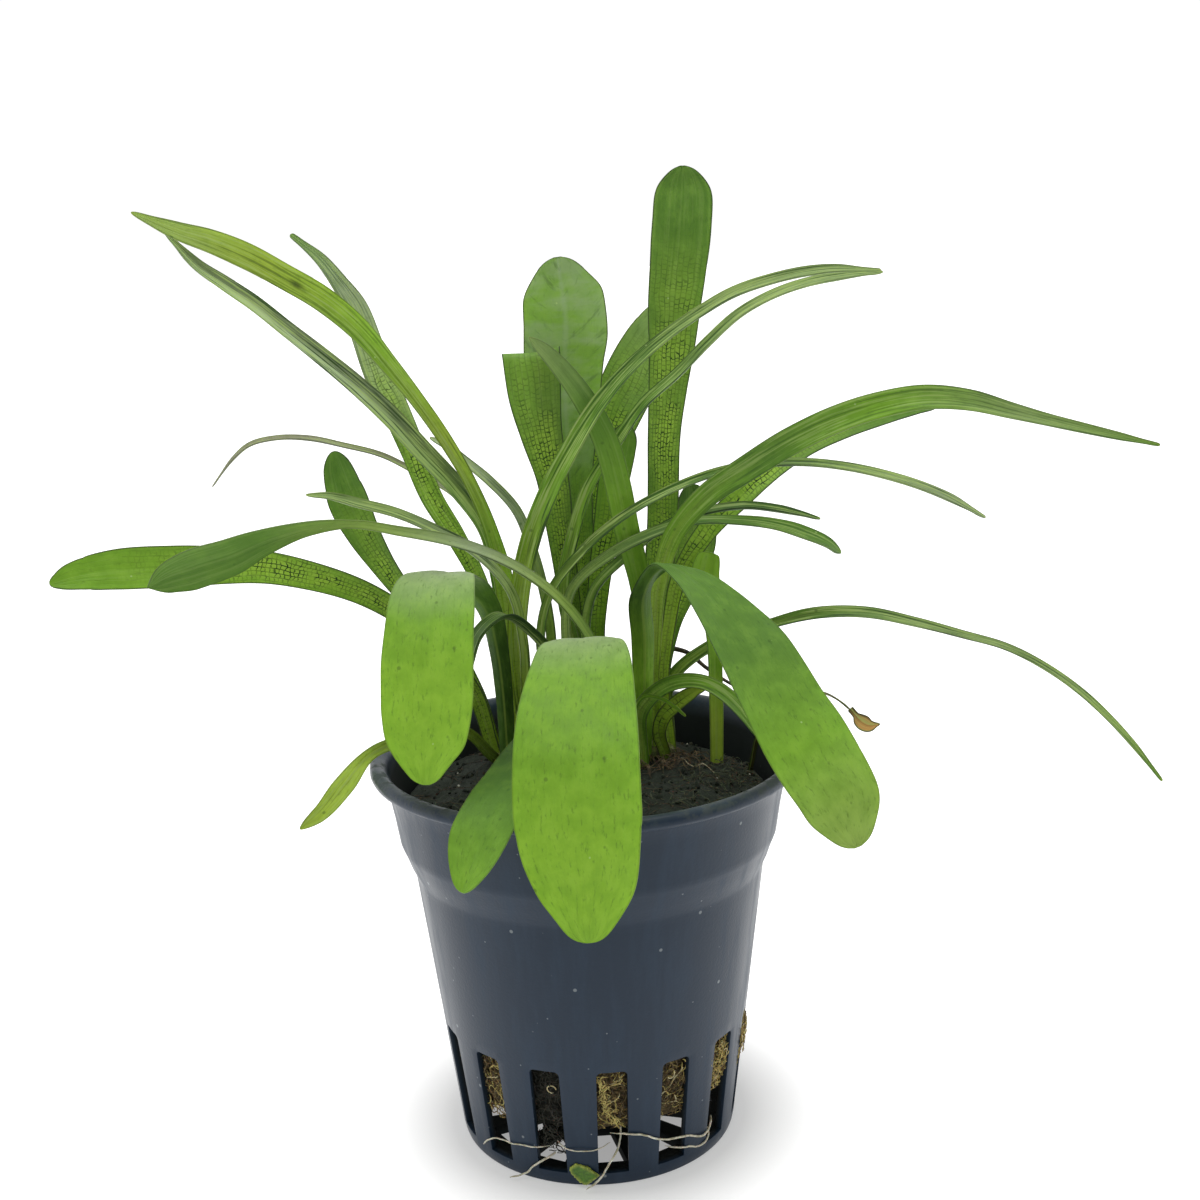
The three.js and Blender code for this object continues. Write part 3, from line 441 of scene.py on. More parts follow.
def leaf_sheath():
    """The sheathed foot of a shoot: pale green strands, brown where they meet the peat."""
    material, node = new_material("leaf_sheath")
    place = object_millimetres(node)
    tall = node("Mapping", {"Vector": place, "Scale": (2.2, 2.2, 0.35)})
    strands = node("TexNoise", {"Vector": tall, "Scale": 0.9, "Detail": 3.0})
    shade = node("MapRange", {0: strands, 1: 0.35, 2: 0.65})
    colour = node("Mix", {0: shade, 6: linear("#56642a"), 7: linear("#8a9450")}, 2, data_type="RGBA")
    height = node("SeparateXYZ", {0: place}, "Z")
    soiled = node("MapRange", {0: height, 1: 44.3, 2: 46.2, 3: 0.8, 4: 0.0})
    colour = node("Mix", {0: soiled, 6: colour, 7: linear("#3c3420")}, 2, data_type="RGBA")
    normal = node("Bump", {"Height": strands, "Distance": 0.12 * MM})
    surface(node, {
        "Base Color": colour, "Roughness": 0.5, "Normal": normal, "IOR": 1.4, "Subsurface Weight": 0.2,
        "Subsurface Scale": 0.8 * MM, "Subsurface Radius": (1.0, 0.9, 0.3),
    })
    return material


def torn_leaf():
    """A wet scrap of leaf: dark green tissue, yellow-green and ragged where it tore."""
    material, node = new_material("torn_leaf")
    place = object_millimetres(node)
    tint = node("Attribute", attribute_name="tint")
    blotches = node("TexNoise", {"Vector": place, "Scale": 2.2, "Detail": 4.0, "Roughness": 0.7})
    dark = node("MapRange", {0: blotches, 1: 0.4, 2: 0.6, 3: 0.55, 4: 0.0})
    colour = node("Mix", {0: dark, 6: tint, 7: linear("#2f4a16")}, 2, data_type="RGBA")
    rough = node("MapRange", {0: blotches, 3: 0.25, 4: 0.5})
    normal = node("Bump", {"Height": blotches, "Distance": 0.12 * MM})
    surface(node, {
        "Base Color": colour, "Roughness": rough, "Normal": normal, "IOR": 1.42, "Subsurface Weight": 0.2,
        "Subsurface Scale": 0.4 * MM, "Subsurface Radius": (0.9, 1.0, 0.25),
    })
    return material


def quartz_grit():
    """White quartz grains, slightly stained by the peat."""
    material, node = new_material("quartz_grit")
    place = object_millimetres(node)
    stain = node("TexNoise", {"Vector": place, "Scale": 2.5, "Detail": 3.0})
    colour = node("Mix", {0: stain, 6: linear("#e2e0d6"), 7: linear("#a8a493")}, 2, data_type="RGBA")
    surface(node, {"Base Color": colour, "Roughness": 0.35, "IOR": 1.5})
    return material


def light_table():
    """The white table of a light tent.

    It is painted dimmer round the pot's foot, as a painted soft shadow, and towards the front, as painted
    shade.
    """
    material, node = new_material("light_table")
    place = object_millimetres(node)
    x = node("SeparateXYZ", {0: place})
    y = x.node.outputs["Y"]
    flat = node("CombineXYZ", {0: x, 1: y})
    distance = node("VectorMath", {0: flat}, "Value", operation="LENGTH")
    # Painted shadow round the foot, then painted shade towards the front
    glow = node("MapRange", {0: distance, 1: GLOW_RISES[0], 2: GLOW_RISES[1], 3: GLOW_AT_FOOT, 4: GLOW_FAR})
    front = node("MapRange", {0: y, 1: FRONT_BEGINS[0], 2: FRONT_BEGINS[1], 3: GLOW_IN_FRONT, 4: 1.0})
    glow = node("Math", {0: glow, 1: front}, operation="MULTIPLY")
    surface(node, {
        "Base Color": linear(FLOOR_WHITE), "Roughness": 0.6, "Emission Color": (1, 1, 1, 1),
        "Emission Strength": glow,
    })
    return material


# Mesh helpers


def deselect():
    """Selects nothing."""
    bpy.ops.object.select_all(action="DESELECT")


def active(obj):
    """Makes an object the only selected one and the active one."""
    deselect()
    obj.select_set(True)
    bpy.context.view_layer.objects.active = obj


def edit(obj):
    """Opens an object's mesh for shaping."""
    active(obj)
    bpy.ops.object.mode_set(mode="EDIT")


def done():
    """Closes the mesh that is open for shaping."""
    bpy.ops.object.mode_set(mode="OBJECT")


def new_object(name, data):
    """An object in the scene for a mesh, curve or camera."""
    obj = bpy.data.objects.new(name, data)
    bpy.context.scene.collection.objects.link(obj)
    return obj


def finished(obj, name, material, replaces=(), angle=40):
    """Names a piece, gives it its material, and lets it ride on the part."""
    obj.name = obj.data.name = name
    obj.data.materials.clear()
    obj.data.materials.append(material)
    active(obj)
    bpy.ops.object.shade_smooth_by_angle(angle=math.radians(angle))
    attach(obj, "root")
    if replaces:
        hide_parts(*replaces)
    return obj


def apply_modifiers(obj):
    """Applies all of an object's modifiers, in their order."""
    bpy.context.view_layer.objects.active = obj
    for modifier in list(obj.modifiers):
        bpy.ops.object.modifier_apply(modifier=modifier.name)


def places_of(mesh):
    """A mesh's corners in mm."""
    places = np.empty(len(mesh.vertices) * 3)
    mesh.vertices.foreach_get("co", places)
    return places.reshape(-1, 3) / MM


def move_to(mesh, places):
    """Puts a mesh's corners at places in mm."""
    mesh.vertices.foreach_set("co", (places * MM).ravel())
    mesh.update()


def paint(mesh, colours):
    """Stores a colour for each corner, which the materials read as tint."""
    tint = mesh.color_attributes.new(name="tint", type="FLOAT_COLOR", domain="POINT")
    tint.data.foreach_set("color", np.ascontiguousarray(colours, dtype=np.float32).ravel())


def outward(degrees):
    """The way out from the axis at an angle round the pot, from the front towards +X."""
    angle = math.radians(degrees)
    return Vector((math.sin(angle), -math.cos(angle), 0))


def round_pot(degrees, radius, height):
    """The place at an angle round the pot, in mm."""
    return np.array(outward(degrees) * radius) + (0, 0, height)


def lengths_along(points):
    """How far along a line of points each of them is."""
    return np.concatenate([[0], np.cumsum(np.linalg.norm(np.diff(points, axis=0), axis=1))])


def unit(vectors):
    """Vectors made 1 long."""
    return vectors / np.maximum(np.linalg.norm(vectors, axis=-1, keepdims=True), 1e-12)


def steady_slopes(knots, values):
    """Slopes that keep the curve through values from swinging past them."""
    steps = np.diff(values, axis=0) / np.diff(knots)[:, None]
    product = steps[:-1] * steps[1:]
    total = np.where(product > 0, steps[:-1] + steps[1:], 1)
    return np.vstack([steps[0], np.where(product > 0, 2 * product / total, 0), steps[-1]])


def smooth_through(knots, points, at, slopes=None):
    """Places on the smooth curve through points, whose distances along it are knots."""
    points = np.asarray(points, float)
    if slopes is None:
        slopes = np.gradient(points, knots, axis=0)
    i = np.clip(np.searchsorted(knots, at, side="right") - 1, 0, len(knots) - 2)
    step = (knots[i + 1] - knots[i])[:, None]
    t = (at - knots[i])[:, None] / step
    return ((2 * t**3 - 3 * t**2 + 1) * points[i] + (t**3 - 2 * t**2 + t) * step * slopes[i]
            + (3 * t**2 - 2 * t**3) * points[i + 1] + (t**3 - t**2) * step * slopes[i + 1])


def remeshed_copy(node, voxel):
    """A free copy of a CAD node with an even mesh, whose faces are about voxel mm."""
    piece = new_object(node + "_copy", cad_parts[node].data.copy())
    edit(piece)
    bpy.ops.mesh.select_all(action="SELECT")
    bpy.ops.mesh.remove_doubles(threshold=0.001 * MM)
    done()
    remesh = piece.modifiers.new("even", "REMESH")
    remesh.mode = "VOXEL"
    remesh.voxel_size = voxel * MM
    apply_modifiers(piece)
    return piece


def strands(name, lines, material, slot, replaces=(), roundness=0):
    """One piece of thin round strands: each line is its points and its radius at each of them, in mm."""
    curve = bpy.data.curves.new(name, "CURVE")
    curve.dimensions = "3D"
    curve.bevel_depth = MM
    curve.bevel_resolution = roundness
    curve.use_fill_caps = True
    for points, radii in lines:
        spline = curve.splines.new("POLY")
        spline.points.add(len(points) - 1)
        places = np.column_stack([np.asarray(points) * MM, np.ones(len(points))])
        spline.points.foreach_set("co", places.ravel())
        spline.points.foreach_set("radius", np.broadcast_to(radii, len(points)))
    piece = new_object(name, curve)
    active(piece)
    bpy.ops.object.convert(target="MESH")
    return finished(bpy.context.object, name, material, replaces, 80)


def crumbs(name, spots, material, slot):
    """One piece of small angular lumps: each spot is its place in mm, its size in mm and its tint."""
    deselect()
    bpy.ops.mesh.primitive_ico_sphere_add(subdivisions=1, radius=1)
    source = bpy.context.object
    shape = np.array([v.co for v in source.data.vertices])
    faces = [tuple(p.vertices) for p in source.data.polygons]
    corners, sides, tints = [], [], []
    for place, size, tint in spots:
        sides += [tuple(len(corners) * len(shape) + v for v in face) for face in faces]
        lump = shape * RNG.uniform(0.6, 1.2, (len(shape), 1)) * RNG.uniform(0.6, 1.1, 3) * size / 2
        corners.append(np.asarray(place) + lump)
        tints.append(np.tile(linear(tint), (len(shape), 1)))
    mesh = bpy.data.meshes.new(name)
    mesh.from_pydata((np.concatenate(corners) * MM).tolist(), [], sides)
    piece = new_object(name, mesh)
    bpy.data.objects.remove(source)
    paint(mesh, np.concatenate(tints))
    return finished(piece, name, material, angle=30)


# Leaves


def merged_mesh(node):
    """The CAD node's corners without doubles, in mm, and each one's neighbours."""
    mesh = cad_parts[node].data
    places = places_of(mesh)
    _, first, same = np.unique(np.round(places * 1000), axis=0, return_index=True, return_inverse=True)
    same = same.ravel()
    neighbours = [set() for _ in first]
    for polygon in mesh.polygons:
        corners = [same[v] for v in polygon.vertices]
        for a, b in zip(corners, corners[1:] + corners[:1]):
            neighbours[a].add(b)
            neighbours[b].add(a)
    return places[first], neighbours


def rings_from(pole, neighbours):
    """The rings of six corners from a pole to the other, or nothing if it isn't a pole."""
    seen, rings, ring = {pole}, [], set(neighbours[pole])
    while len(ring) == 6:
        rings.append(ring)
        seen |= ring
        ring = set().union(*(neighbours[v] for v in ring)) - seen
    return rings if len(ring) == 1 and len(seen) + 1 == len(neighbours) else []


def in_order(ring, neighbours):
    """The corners of a ring in their order round it."""
    order = [min(ring)]
    while len(order) < len(ring):
        order.append(min(v for v in neighbours[order[-1]] & ring if v not in order))
    return order


def leaf_sections(node):
    """A leaf's sections from base to tip: margins, midrib, the way its face looks, and its tip, in mm."""
    places, neighbours = merged_mesh(node)
    poles = [v for v in range(len(places)) if len(neighbours[v]) == 6 and rings_from(v, neighbours)]
    base, tip = sorted(poles, key=lambda v: np.linalg.norm(places[v] - PLANT_MIDDLE))
    rings = [places[in_order(r, neighbours)] for r in rings_from(base, neighbours)]
    for i in range(1, len(rings)):
        before = rings[i - 1] - rings[i - 1].mean(0)
        here = rings[i] - rings[i].mean(0)
        turns = [np.roll(way, k, axis=0) for way in (here, here[::-1]) for k in range(6)]
        best = min(turns, key=lambda turn: ((turn - before) ** 2).sum())
        rings[i] = best + rings[i].mean(0)
    rings = np.array(rings)
    edges = np.linalg.norm(rings - np.roll(rings, -1, axis=1), axis=2).sum(0)
    start = min(range(3), key=lambda k: edges[k] + edges[k + 3])
    rings = np.roll(rings, -start, axis=1)
    one, other = rings[:, :2].mean(1), rings[:, 3:5].mean(1)
    rib = (rings[:, 2] + rings[:, 5]) / 2
    through = rings[:, 2] - rings[:, 5]
    if (((one + other) / 2 - rib) * through).sum() < 0:
        through = -through
    ahead = np.gradient(rib, axis=0)
    if (np.cross(ahead, through) * (other - one)).sum() < 0:
        one, other = other, one
    return one, other, rib, through, places[tip]


def tints_along(names, shares):
    """The leaf's colour at each share of the way along it, from the names of its greens."""
    colours = np.array([linear(GREENS[name]) for name in names])
    stops = np.linspace(0, 1, len(names))
    return np.stack([np.interp(shares, stops, colours[:, c]) for c in range(4)], axis=1)


# A leaf's tissue, slot, greens from base to tip, how bright its two halves are painted, as painted light and
# shade on its two sides, how far its foot reaches and how far its margins drop where it folds over, in mm,
# and a dark spot's place, as shares along and across
Leaf = namedtuple(
    "Leaf", "tissue slot greens halves sink shoulder spot", defaults=((1, 1), LEAF_SINK, 0, None))


def filled_out(at, widths, eased):
    """Widths towards a leaf's tip, each hollow filled straight across, and corners eased where told."""
    high = []
    for x, y in zip(at, widths):
        while len(high) > 1:
            (x0, y0), (x1, y1) = high[-2:]
            if (y1 - y0) * (x - x0) > (y - y0) * (x1 - x0):
                break
            high.pop()
        high.append((x, y))
    full = np.interp(at, *zip(*high))
    soft = np.convolve(np.pad(full, 3, "edge"), np.ones(7) / 7, "valid")
    return np.where(eased, soft, full)


def blade_width(at, fullness, widest, blunt, drawn_in):
    """Half the blade's width along it, in mm, round and full at a blunt tip and drawn in at its fold."""
    left = at[-1] - at
    reach = blunt * widest + 1e-6
    round_end = np.interp(at[-1] - reach, at, fullness[:, 0]) * left / reach
    fullness = np.maximum(fullness, np.where(left < reach, round_end, 0)[:, None])
    width = np.clip(fullness, 1e-4, None) ** (1 / TIP_BLUNTNESS) * drawn_in
    if blunt:
        to_tip = left / widest
        width *= 1 + TIP_FULLER * np.exp(-(((to_tip - TIP_FULLEST) / TIP_SPREAD) ** 2))[:, None]
        end = to_tip < TIP_LENGTH
        width[end, 0] = filled_out(at[end], width[end, 0], to_tip[end] > TIP_EASED)
    return width


def blade_relief(node, at, v, width, wave, ribs):
    """How far the sheet rises from its even form, in mm: waves, lengthwise ribs and the midrib's groove."""
    phases = np.random.default_rng(sum(map(ord, node))).uniform(0, 2 * np.pi, 3)
    s = at[:, None]
    waves = (np.sin(s / 3.1 + phases[0]) * v + 0.7 * np.sin(s / 1.9 + phases[1]) * np.abs(v) ** 3 * np.sign(v)
             + 0.6 * np.sin(s / 4.3 + phases[2]) * v**2
             + 0.2 * np.sin(s / 0.9 + 2 * v + phases[1]) * np.sin(4 * v + phases[0]))
    relief = waves * wave * width * np.minimum(at / at[-1] * 4, 1)[:, None]
    relief = relief + 0.035 * np.cos(np.pi * ribs * v)[None, :] * np.minimum(width, 1.5) * (ribs > 0)
    return relief - 0.06 * np.exp(-(v[None, :] * width / 0.35) ** 2) * np.minimum(width, 1)


def map_blade(mesh, maps):
    """Stores the maps that the tissues read: two values for each corner of the sheet."""
    per_corner = np.empty(len(mesh.loops), int)
    mesh.loops.foreach_get("vertex_index", per_corner)
    mesh.uv_layers[0].name = "blade_mm"
    for layer, (x, y) in maps.items():
        if layer not in mesh.uv_layers:
            mesh.uv_layers.new(name=layer)
        values = np.stack([x.ravel(), y.ravel()], axis=1)[per_corner]
        mesh.uv_layers[layer].data.foreach_set("uv", values.astype(np.float32).ravel())


def face_towards(piece, way):
    """Turns a sheet over where its middle looks away from the given way."""
    polygons = piece.data.polygons
    if polygons[len(polygons) // 2].normal.dot(Vector(way)) < 0:
        edit(piece)
        bpy.ops.mesh.select_all(action="SELECT")
        bpy.ops.mesh.flip_normals()
        done()


def thicken(piece, depth):
    """Gives a sheet its depth below its face at each corner, in mm."""
    group = piece.vertex_groups.new(name="depth")
    deepest = depth.max()
    for index, weight in enumerate((depth / deepest).ravel()):
        group.add([index], float(weight), "REPLACE")
    solid = piece.modifiers.new("depth", "SOLIDIFY")
    solid.thickness = deepest * MM
    solid.offset = -1
    solid.vertex_group = "depth"
    apply_modifiers(piece)


def leaf(node, look, material, wave, ribs, blunt):
    """A leaf as a fine sheet through its CAD sections, with a keel below, thin margins and a slight wave.

    A power of the width is what runs smoothly to nothing at the tip, so that the tip is round.
    """
    left, right, rib, through, tip = leaf_sections(node)
    centre, half = (left + right) / 2, (right - left) / 2
    widths = np.linalg.norm(half, axis=1, keepdims=True)
    sides = unit(half)
    folds = (centre - rib) / widths
    thicknesses = np.linalg.norm(through, axis=1, keepdims=True)
    foot = rib[0] - unit(rib[1] - rib[0]) * look.sink if look.sink else rib[0] * 2 - rib[1]
    start = 0 if look.sink else 1
    rib = np.vstack([foot, rib, tip])[start:]
    sides, folds = (np.vstack([x[0], x, x[-1]])[start:] for x in (sides, folds))
    thicknesses = np.vstack([thicknesses[0], thicknesses, thicknesses[-1] * 0.6])[start:]
    fullness = np.vstack([widths[0], widths, [0]])[start:] ** TIP_BLUNTNESS
    knots = lengths_along(rib)
    length = knots[-1]
    rows = max(30, int(length / 0.45))
    columns = 2 * max(4, min(14, int(widths.max() / 0.28)))
    at = length * (1 - (1 - np.linspace(0, 1, rows + 1)) ** 1.5)
    shares = at / length
    v = np.linspace(-1, 1, columns + 1)
    fullness = smooth_through(knots, fullness, at, steady_slopes(knots, fullness))
    rib, sides, folds, thicknesses = (smooth_through(knots, x, at) for x in (rib, sides, folds, thicknesses))
    sides = unit(sides)
    from_fold = at - at[np.argmax(rib[:, 2])] + FOLD_SEEN
    near_fold = np.exp(-(((from_fold - FOLD_MIDDLE) / FOLD_SPREAD) ** 2))[:, None]
    drawn_in = 1 - FOLD_NARROWS * look.shoulder * near_fold
    width = blade_width(at, fullness, widths.max(), blunt, drawn_in)
    face = unit(np.cross(sides, np.gradient(rib, axis=0)))
    ring_knots = knots[-1 - len(through):-1]
    through = smooth_through(ring_knots, through, np.clip(at, ring_knots[0], ring_knots[-1]))
    face *= np.sign((face * through).sum())
    sharp = np.clip((np.linalg.norm(folds, axis=1) - 0.15) / 0.15, 0, 1)[:, None]
    sheet = rib[:, None] + (sides * width)[:, None] * v[None, :, None]
    sheet = sheet + (folds * width)[:, None] * (np.abs(v)[None, :] ** (2 - 0.75 * sharp))[..., None]
    relief = blade_relief(node, at, v, width, wave, ribs)
    sheet = sheet + face[:, None] * (relief + 0.25 * thicknesses)[..., None]
    sheet[..., 2] -= look.shoulder * near_fold * np.abs(v) ** 4
    body = np.clip(1 - np.abs(v) ** 2.2, 0, 1)[None, :]
    keel = np.exp(-(v[None, :] * width / (0.35 + 0.2 * width)) ** 2) * (1 - 0.5 * shares[:, None])
    depth = thicknesses * (0.16 + (0.5 * body + 0.14 * keel) * np.minimum(width / 0.6, 1))
    deselect()
    bpy.ops.mesh.primitive_grid_add(x_subdivisions=columns, y_subdivisions=rows, size=1)
    piece = bpy.context.object
    mesh = piece.data
    move_to(mesh, sheet.reshape(-1, 3))
    whole = np.ones((rows + 1, columns + 1))
    map_blade(mesh, {
        "blade_mm": (at[:, None] * whole, v * widths.max() * whole),
        "blade_share": (shares[:, None] * whole, v * whole),
        "blade_edge": ((1 - np.abs(v)) * width, (length - at[:, None]) * whole),
    })
    tints = np.repeat(tints_along(look.greens.split(), shares), columns + 1, axis=0)
    # Painted light and shade: one half of the leaf made lighter, the other darker
    ramp = np.tile(np.interp(v, [-0.25, 0.25], look.halves), rows + 1)
    tints[:, :3] *= ramp[:, None]
    if look.spot:
        along, across = (shares[:, None] - look.spot[0]) * length, (v - look.spot[1]) * width
        tints[:, :3] *= 1 - 0.9 * np.exp(-(along / 0.8) ** 2 - (across / 0.3) ** 2).reshape(-1, 1)
    paint(mesh, tints)
    face_towards(piece, face[rows // 2])
    thicken(piece, depth)
    name = node + ("_blade" if node.startswith("leaf") else "_fine")
    return finished(piece, name, material, [node], 50)


LEAVES = {
    "leaf_long_upper_left": Leaf(
        "arch_light", "leaf_pale", "lit lit fresh yellow fresh yellow pale", (0.85, 1.1), spot=(0.79, -0.1)),
    "leaf_folded_upper_left": Leaf("arch", "leaf_dark", "mid deep mid grey silver silver grey", (1.25, 0.6)),
    "leaf_netted_upper_left": Leaf(
        "streaked", "leaf_upright", "yellow blade blade blade mid silver silver mid"),
    "leaf_short_rounded_left": Leaf("netted", "leaf_dark", "yellow blade mid mid mid"),
    "leaf_far_left": Leaf("netted", "leaf_bright", "yellow mid blade blade blade"),
    # The grey and silver where each hanging leaf folds over are a painted sheen
    "leaf_hanging_front_left": Leaf(
        "blade", "leaf_bright", "mid deep deep mid silver blade fresh fresh", shoulder=0.8),
    "leaf_over_left_rim": Leaf("arch_light", "leaf_pale", "olive yellow lit lit yellow"),
    "leaf_long_arch_right": Leaf("arch", "leaf_pale", "lit yellow blade mid grey grey"),
    "leaf_grass_thin_left": Leaf("dark", "leaf_dark", "deep deep dry dry dry"),
    "leaf_thin_low_left": Leaf("arch", "leaf_dark", "lit yellow pale silver grey grey"),
    "leaf_small_curl_left": Leaf("dark", "leaf_dark", "pale pale silver silver"),
    "leaf_hanging_front_centre": Leaf(
        "blade", "leaf_bright", "mid mid grey silver blade blade fresh fresh", shoulder=0.8),
    "leaf_short_dark_arch": Leaf("dark", "leaf_dark", "deep deep dark mid"),
    "leaf_small_front_low": Leaf("blade", "leaf_bright", "dark dark dark mid blade"),
    "leaf_broad_upright": Leaf("broad", "leaf_upright", "mid mid mid blade blade"),
    "leaf_folded_top": Leaf("netted", "leaf_upright", "blade mid mid mid mid", (1.15, 0.75)),
    "leaf_broad_behind": Leaf("netted", "leaf_upright", "mid mid mid grey"),
    "leaf_lower_arch_right": Leaf("arch", "leaf_pale", "blade mid blade mid grey grey"),
    "leaf_dark_rounded": Leaf("netted", "leaf_dark", "blade blade blade mid"),
    "leaf_long_narrow_right": Leaf("arch", "leaf_dark", "deep mid deep mid grey silver"),
    "leaf_narrow_right": Leaf("dark", "leaf_dark", "pale grey mid mid"),
    "leaf_thin_right": Leaf("dark", "leaf_dark", "deep mid deep deep"),
    "leaf_twisted_strap_left": Leaf("plain", "leaf_dark", "mid mid pale silver pale mid mid"),
    "leaf_plain_light": Leaf("plain", "leaf_pale", "blade fresh blade blade mid grey"),
    "leaf_tall_upright": Leaf("netted", "leaf_upright", "mid mid mid mid mid"),
    "leaf_hanging_front_right": Leaf(
        "blade", "leaf_bright", "fresh fresh deep mid mid blade pale", shoulder=0.7),
    "leaf_big_arch_right": Leaf("arch_light", "leaf_upright", "lit lit blade mid blade grey mid"),
    "leaf_netted_right": Leaf("netted", "leaf_upright", "lit lit blade mid mid"),
    "leaf_dark_behind_right": Leaf("netted", "leaf_dark", "mid mid deep deep"),
    "leaf_low_far_right": Leaf("arch", "leaf_dark", "olive mid mid grey grey mid"),
    "leaf_low_dark_arch": Leaf("dark", "leaf_dark", "blade mid blade mid"),
    "leaf_olive_stub": Leaf("netted", "straw", "olive yellow yellow"),
    "leaf_upright_stalk_right": Leaf("plain", "leaf_bright", "yellow yellow blade fresh fresh"),
    "stalk_thin_dark": Leaf("dark", "leaf_dark", "blade blade blade"),
    "dead_stem": Leaf("withered", "straw", "brown brown straw"),
    "dead_leaf_tip": Leaf("withered", "straw", "brown rust rust", sink=0.9),
}

TISSUES = {
    "blade": leaf_tissue("leaf_blade_upper_side", dashes=0.5, mottle=0.65, speckled=1.0, margin_shade=0.4,
                         shine=0.55),
    "plain": leaf_tissue("leaf_blade_smooth", dashes=0.3, stripes=0.15, mottle=0.35, speckled=0.7,
                         margin_shade=0.45),
    "netted": leaf_tissue("leaf_blade_lit_from_behind", net=1.0, net_end=0.9, stripes=0.1, dashes=0.4,
                          mottle=0.6),
    "broad": leaf_tissue("leaf_blade_with_painted_sheen", net=0.8, net_end=0.62, feather=0.6, dashes=0.3,
                         mottle=0.5),
    "arch": leaf_tissue("leaf_strap_striped", net=0.4, net_end=0.4, stripes=0.9, per_mm=3.2, mottle=0.4,
                        margin_shade=0.45, shine=0.5),
    "arch_light": leaf_tissue("leaf_strap_light", net=0.8, net_end=0.42, stripes=0.5, per_mm=2.6, dashes=0.3,
                              mottle=0.5, margin_shade=0.5, shine=0.5),
    "dark": leaf_tissue("leaf_strap_shaded", net=0.5, net_end=0.6, stripes=0.6, per_mm=2.6, mottle=0.5,
                        margin_shade=0.5),
    "streaked": leaf_tissue("leaf_blade_streaked", net=1.0, net_end=0.85, stripes=0.6, per_mm=2.8, mottle=0.5,
                            margin_shade=0.6),
    "withered": leaf_tissue("leaf_withered", stripes=0.6, mottle=0.25, speckled=2.0, shine=0.65,
                            see_through=0.08, keel_light=0),
}

# How far each tissue waves, as a share of the blade's half width, and how many ribs each half has
WAVES = {
    "blade": 0.03, "plain": 0.03, "netted": 0.045, "broad": 0.03, "arch": 0.03, "arch_light": 0.03,
    "dark": 0.04, "streaked": 0.05, "withered": 0.12,
}
RIBS = {"arch": 3, "arch_light": 3, "dark": 2, "withered": 2, "streaked": 3}

# How far back from the tip a blunt tissue's leaf is round, as a share of its greatest half width
BLUNT_TIPS = {"blade": 0.45, "netted": 0.45, "broad": 0.6}


def leaves():
    """Every leaf, stalk and dead stem that has a CAD solid."""
    for node, look in LEAVES.items():
        tissue = look.tissue
        leaf(node, look, TISSUES[tissue], WAVES[tissue], RIBS.get(tissue, 0), BLUNT_TIPS.get(tissue, 0))


# Pot


def wall_radius(height):
    """The outside radius of the tapered wall at a height, in mm."""
    return BASE_RADIUS + (STEP_RADIUS - BASE_RADIUS) * height / STEP_HEIGHT


def pot_profile():
    """The moulding's section from the middle of its underside round to the middle of its floor, in mm."""
    heights = (SLOT_BOTTOM, 3, 6, 9, 12, 14, SLOT_TOP)
    above = (17, 20, 24, 28, 31)
    inner, outer = FLOOR_OPENING_RADII
    return [
        (0, 0), (inner, 0), (outer, 0), (BASE_RADIUS - 0.35, 0), (BASE_RADIUS - 0.1, 0.08),
        (BASE_RADIUS, 0.35), (wall_radius(0.9), 0.9),
        *[(wall_radius(z), z) for z in heights + above], (wall_radius(33.5), 33.5),
        (STEP_RADIUS - 0.02, STEP_HEIGHT - 0.25), (STEP_RADIUS + 0.1, STEP_HEIGHT + 0.3), (21.95, 36.1),
        (22.35, 37.3), (22.75, 38.3), (22.92, 38.75), (23.0, 39.3), (23.4, 42), (23.85, 44.4), (24.28, 46.4),
        (24.42, 46.66), (24.7, 46.8), (25.5, 46.92), (25.85, 47.1), (26.0, 47.45), (25.97, 47.95),
        (25.8, 48.3), (25.45, 48.48), (24.9, 48.46), (24.5, 48.3), (24.1, 47.9), (23.8, 47.3), (23.45, 46),
        (23.2, 45.4), (22.7, 42), (22.05, 38.6), (21.5, 37.4), (20.7, 35.4), (20.4, 34.4), (20.25, 33.5),
        *[(wall_radius(z) - WALL, z) for z in reversed(heights + above)],
        (wall_radius(1.35) - WALL, 1.35), (wall_radius(1.2) - WALL - 0.2, FLOOR_THICKNESS),
        (outer, FLOOR_THICKNESS), (inner, FLOOR_THICKNESS), (0, FLOOR_THICKNESS),
    ]


def spun_pot():
    """The closed moulding before its slots are opened: the section drawn, then spun round the axis."""
    section = pot_profile()
    deselect()
    bpy.ops.mesh.primitive_circle_add(vertices=len(section), radius=1)
    piece = bpy.context.object
    out = outward(FIRST_SLOT_DEG)
    for vertex, (radius, height) in zip(piece.data.vertices, section):
        vertex.co = (out * radius + Vector((0, 0, height))) * MM
    edit(piece)
    bpy.ops.mesh.select_mode(type="EDGE")
    bpy.ops.mesh.select_all(action="DESELECT")
    done()
    for edge in piece.data.edges:
        edge.select = set(edge.vertices) == {0, len(section) - 1}
    edit(piece)
    bpy.ops.mesh.delete(type="EDGE")
    bpy.ops.mesh.select_all(action="SELECT")
    bpy.ops.mesh.spin(steps=POT_COLUMNS, angle=2 * math.pi, center=(0, 0, 0), axis=(0, 0, 1),
                      use_auto_merge=False)
    bpy.ops.mesh.select_all(action="SELECT")
    bpy.ops.mesh.remove_doubles(threshold=0.01 * MM)
    bpy.ops.mesh.normals_make_consistent(inside=False)
    done()
    return piece


def round_from_slot(place):
    """A point's degrees from the nearest slot's middle, that slot's number, its radius and height in mm."""
    x, y, z = place / MM
    degrees = math.degrees(math.atan2(x, -y)) - FIRST_SLOT_DEG
    pitch = 360 / SLOT_COUNT
    number = round(degrees / pitch)
    return degrees - number * pitch, number % SLOT_COUNT, math.hypot(x, y), z


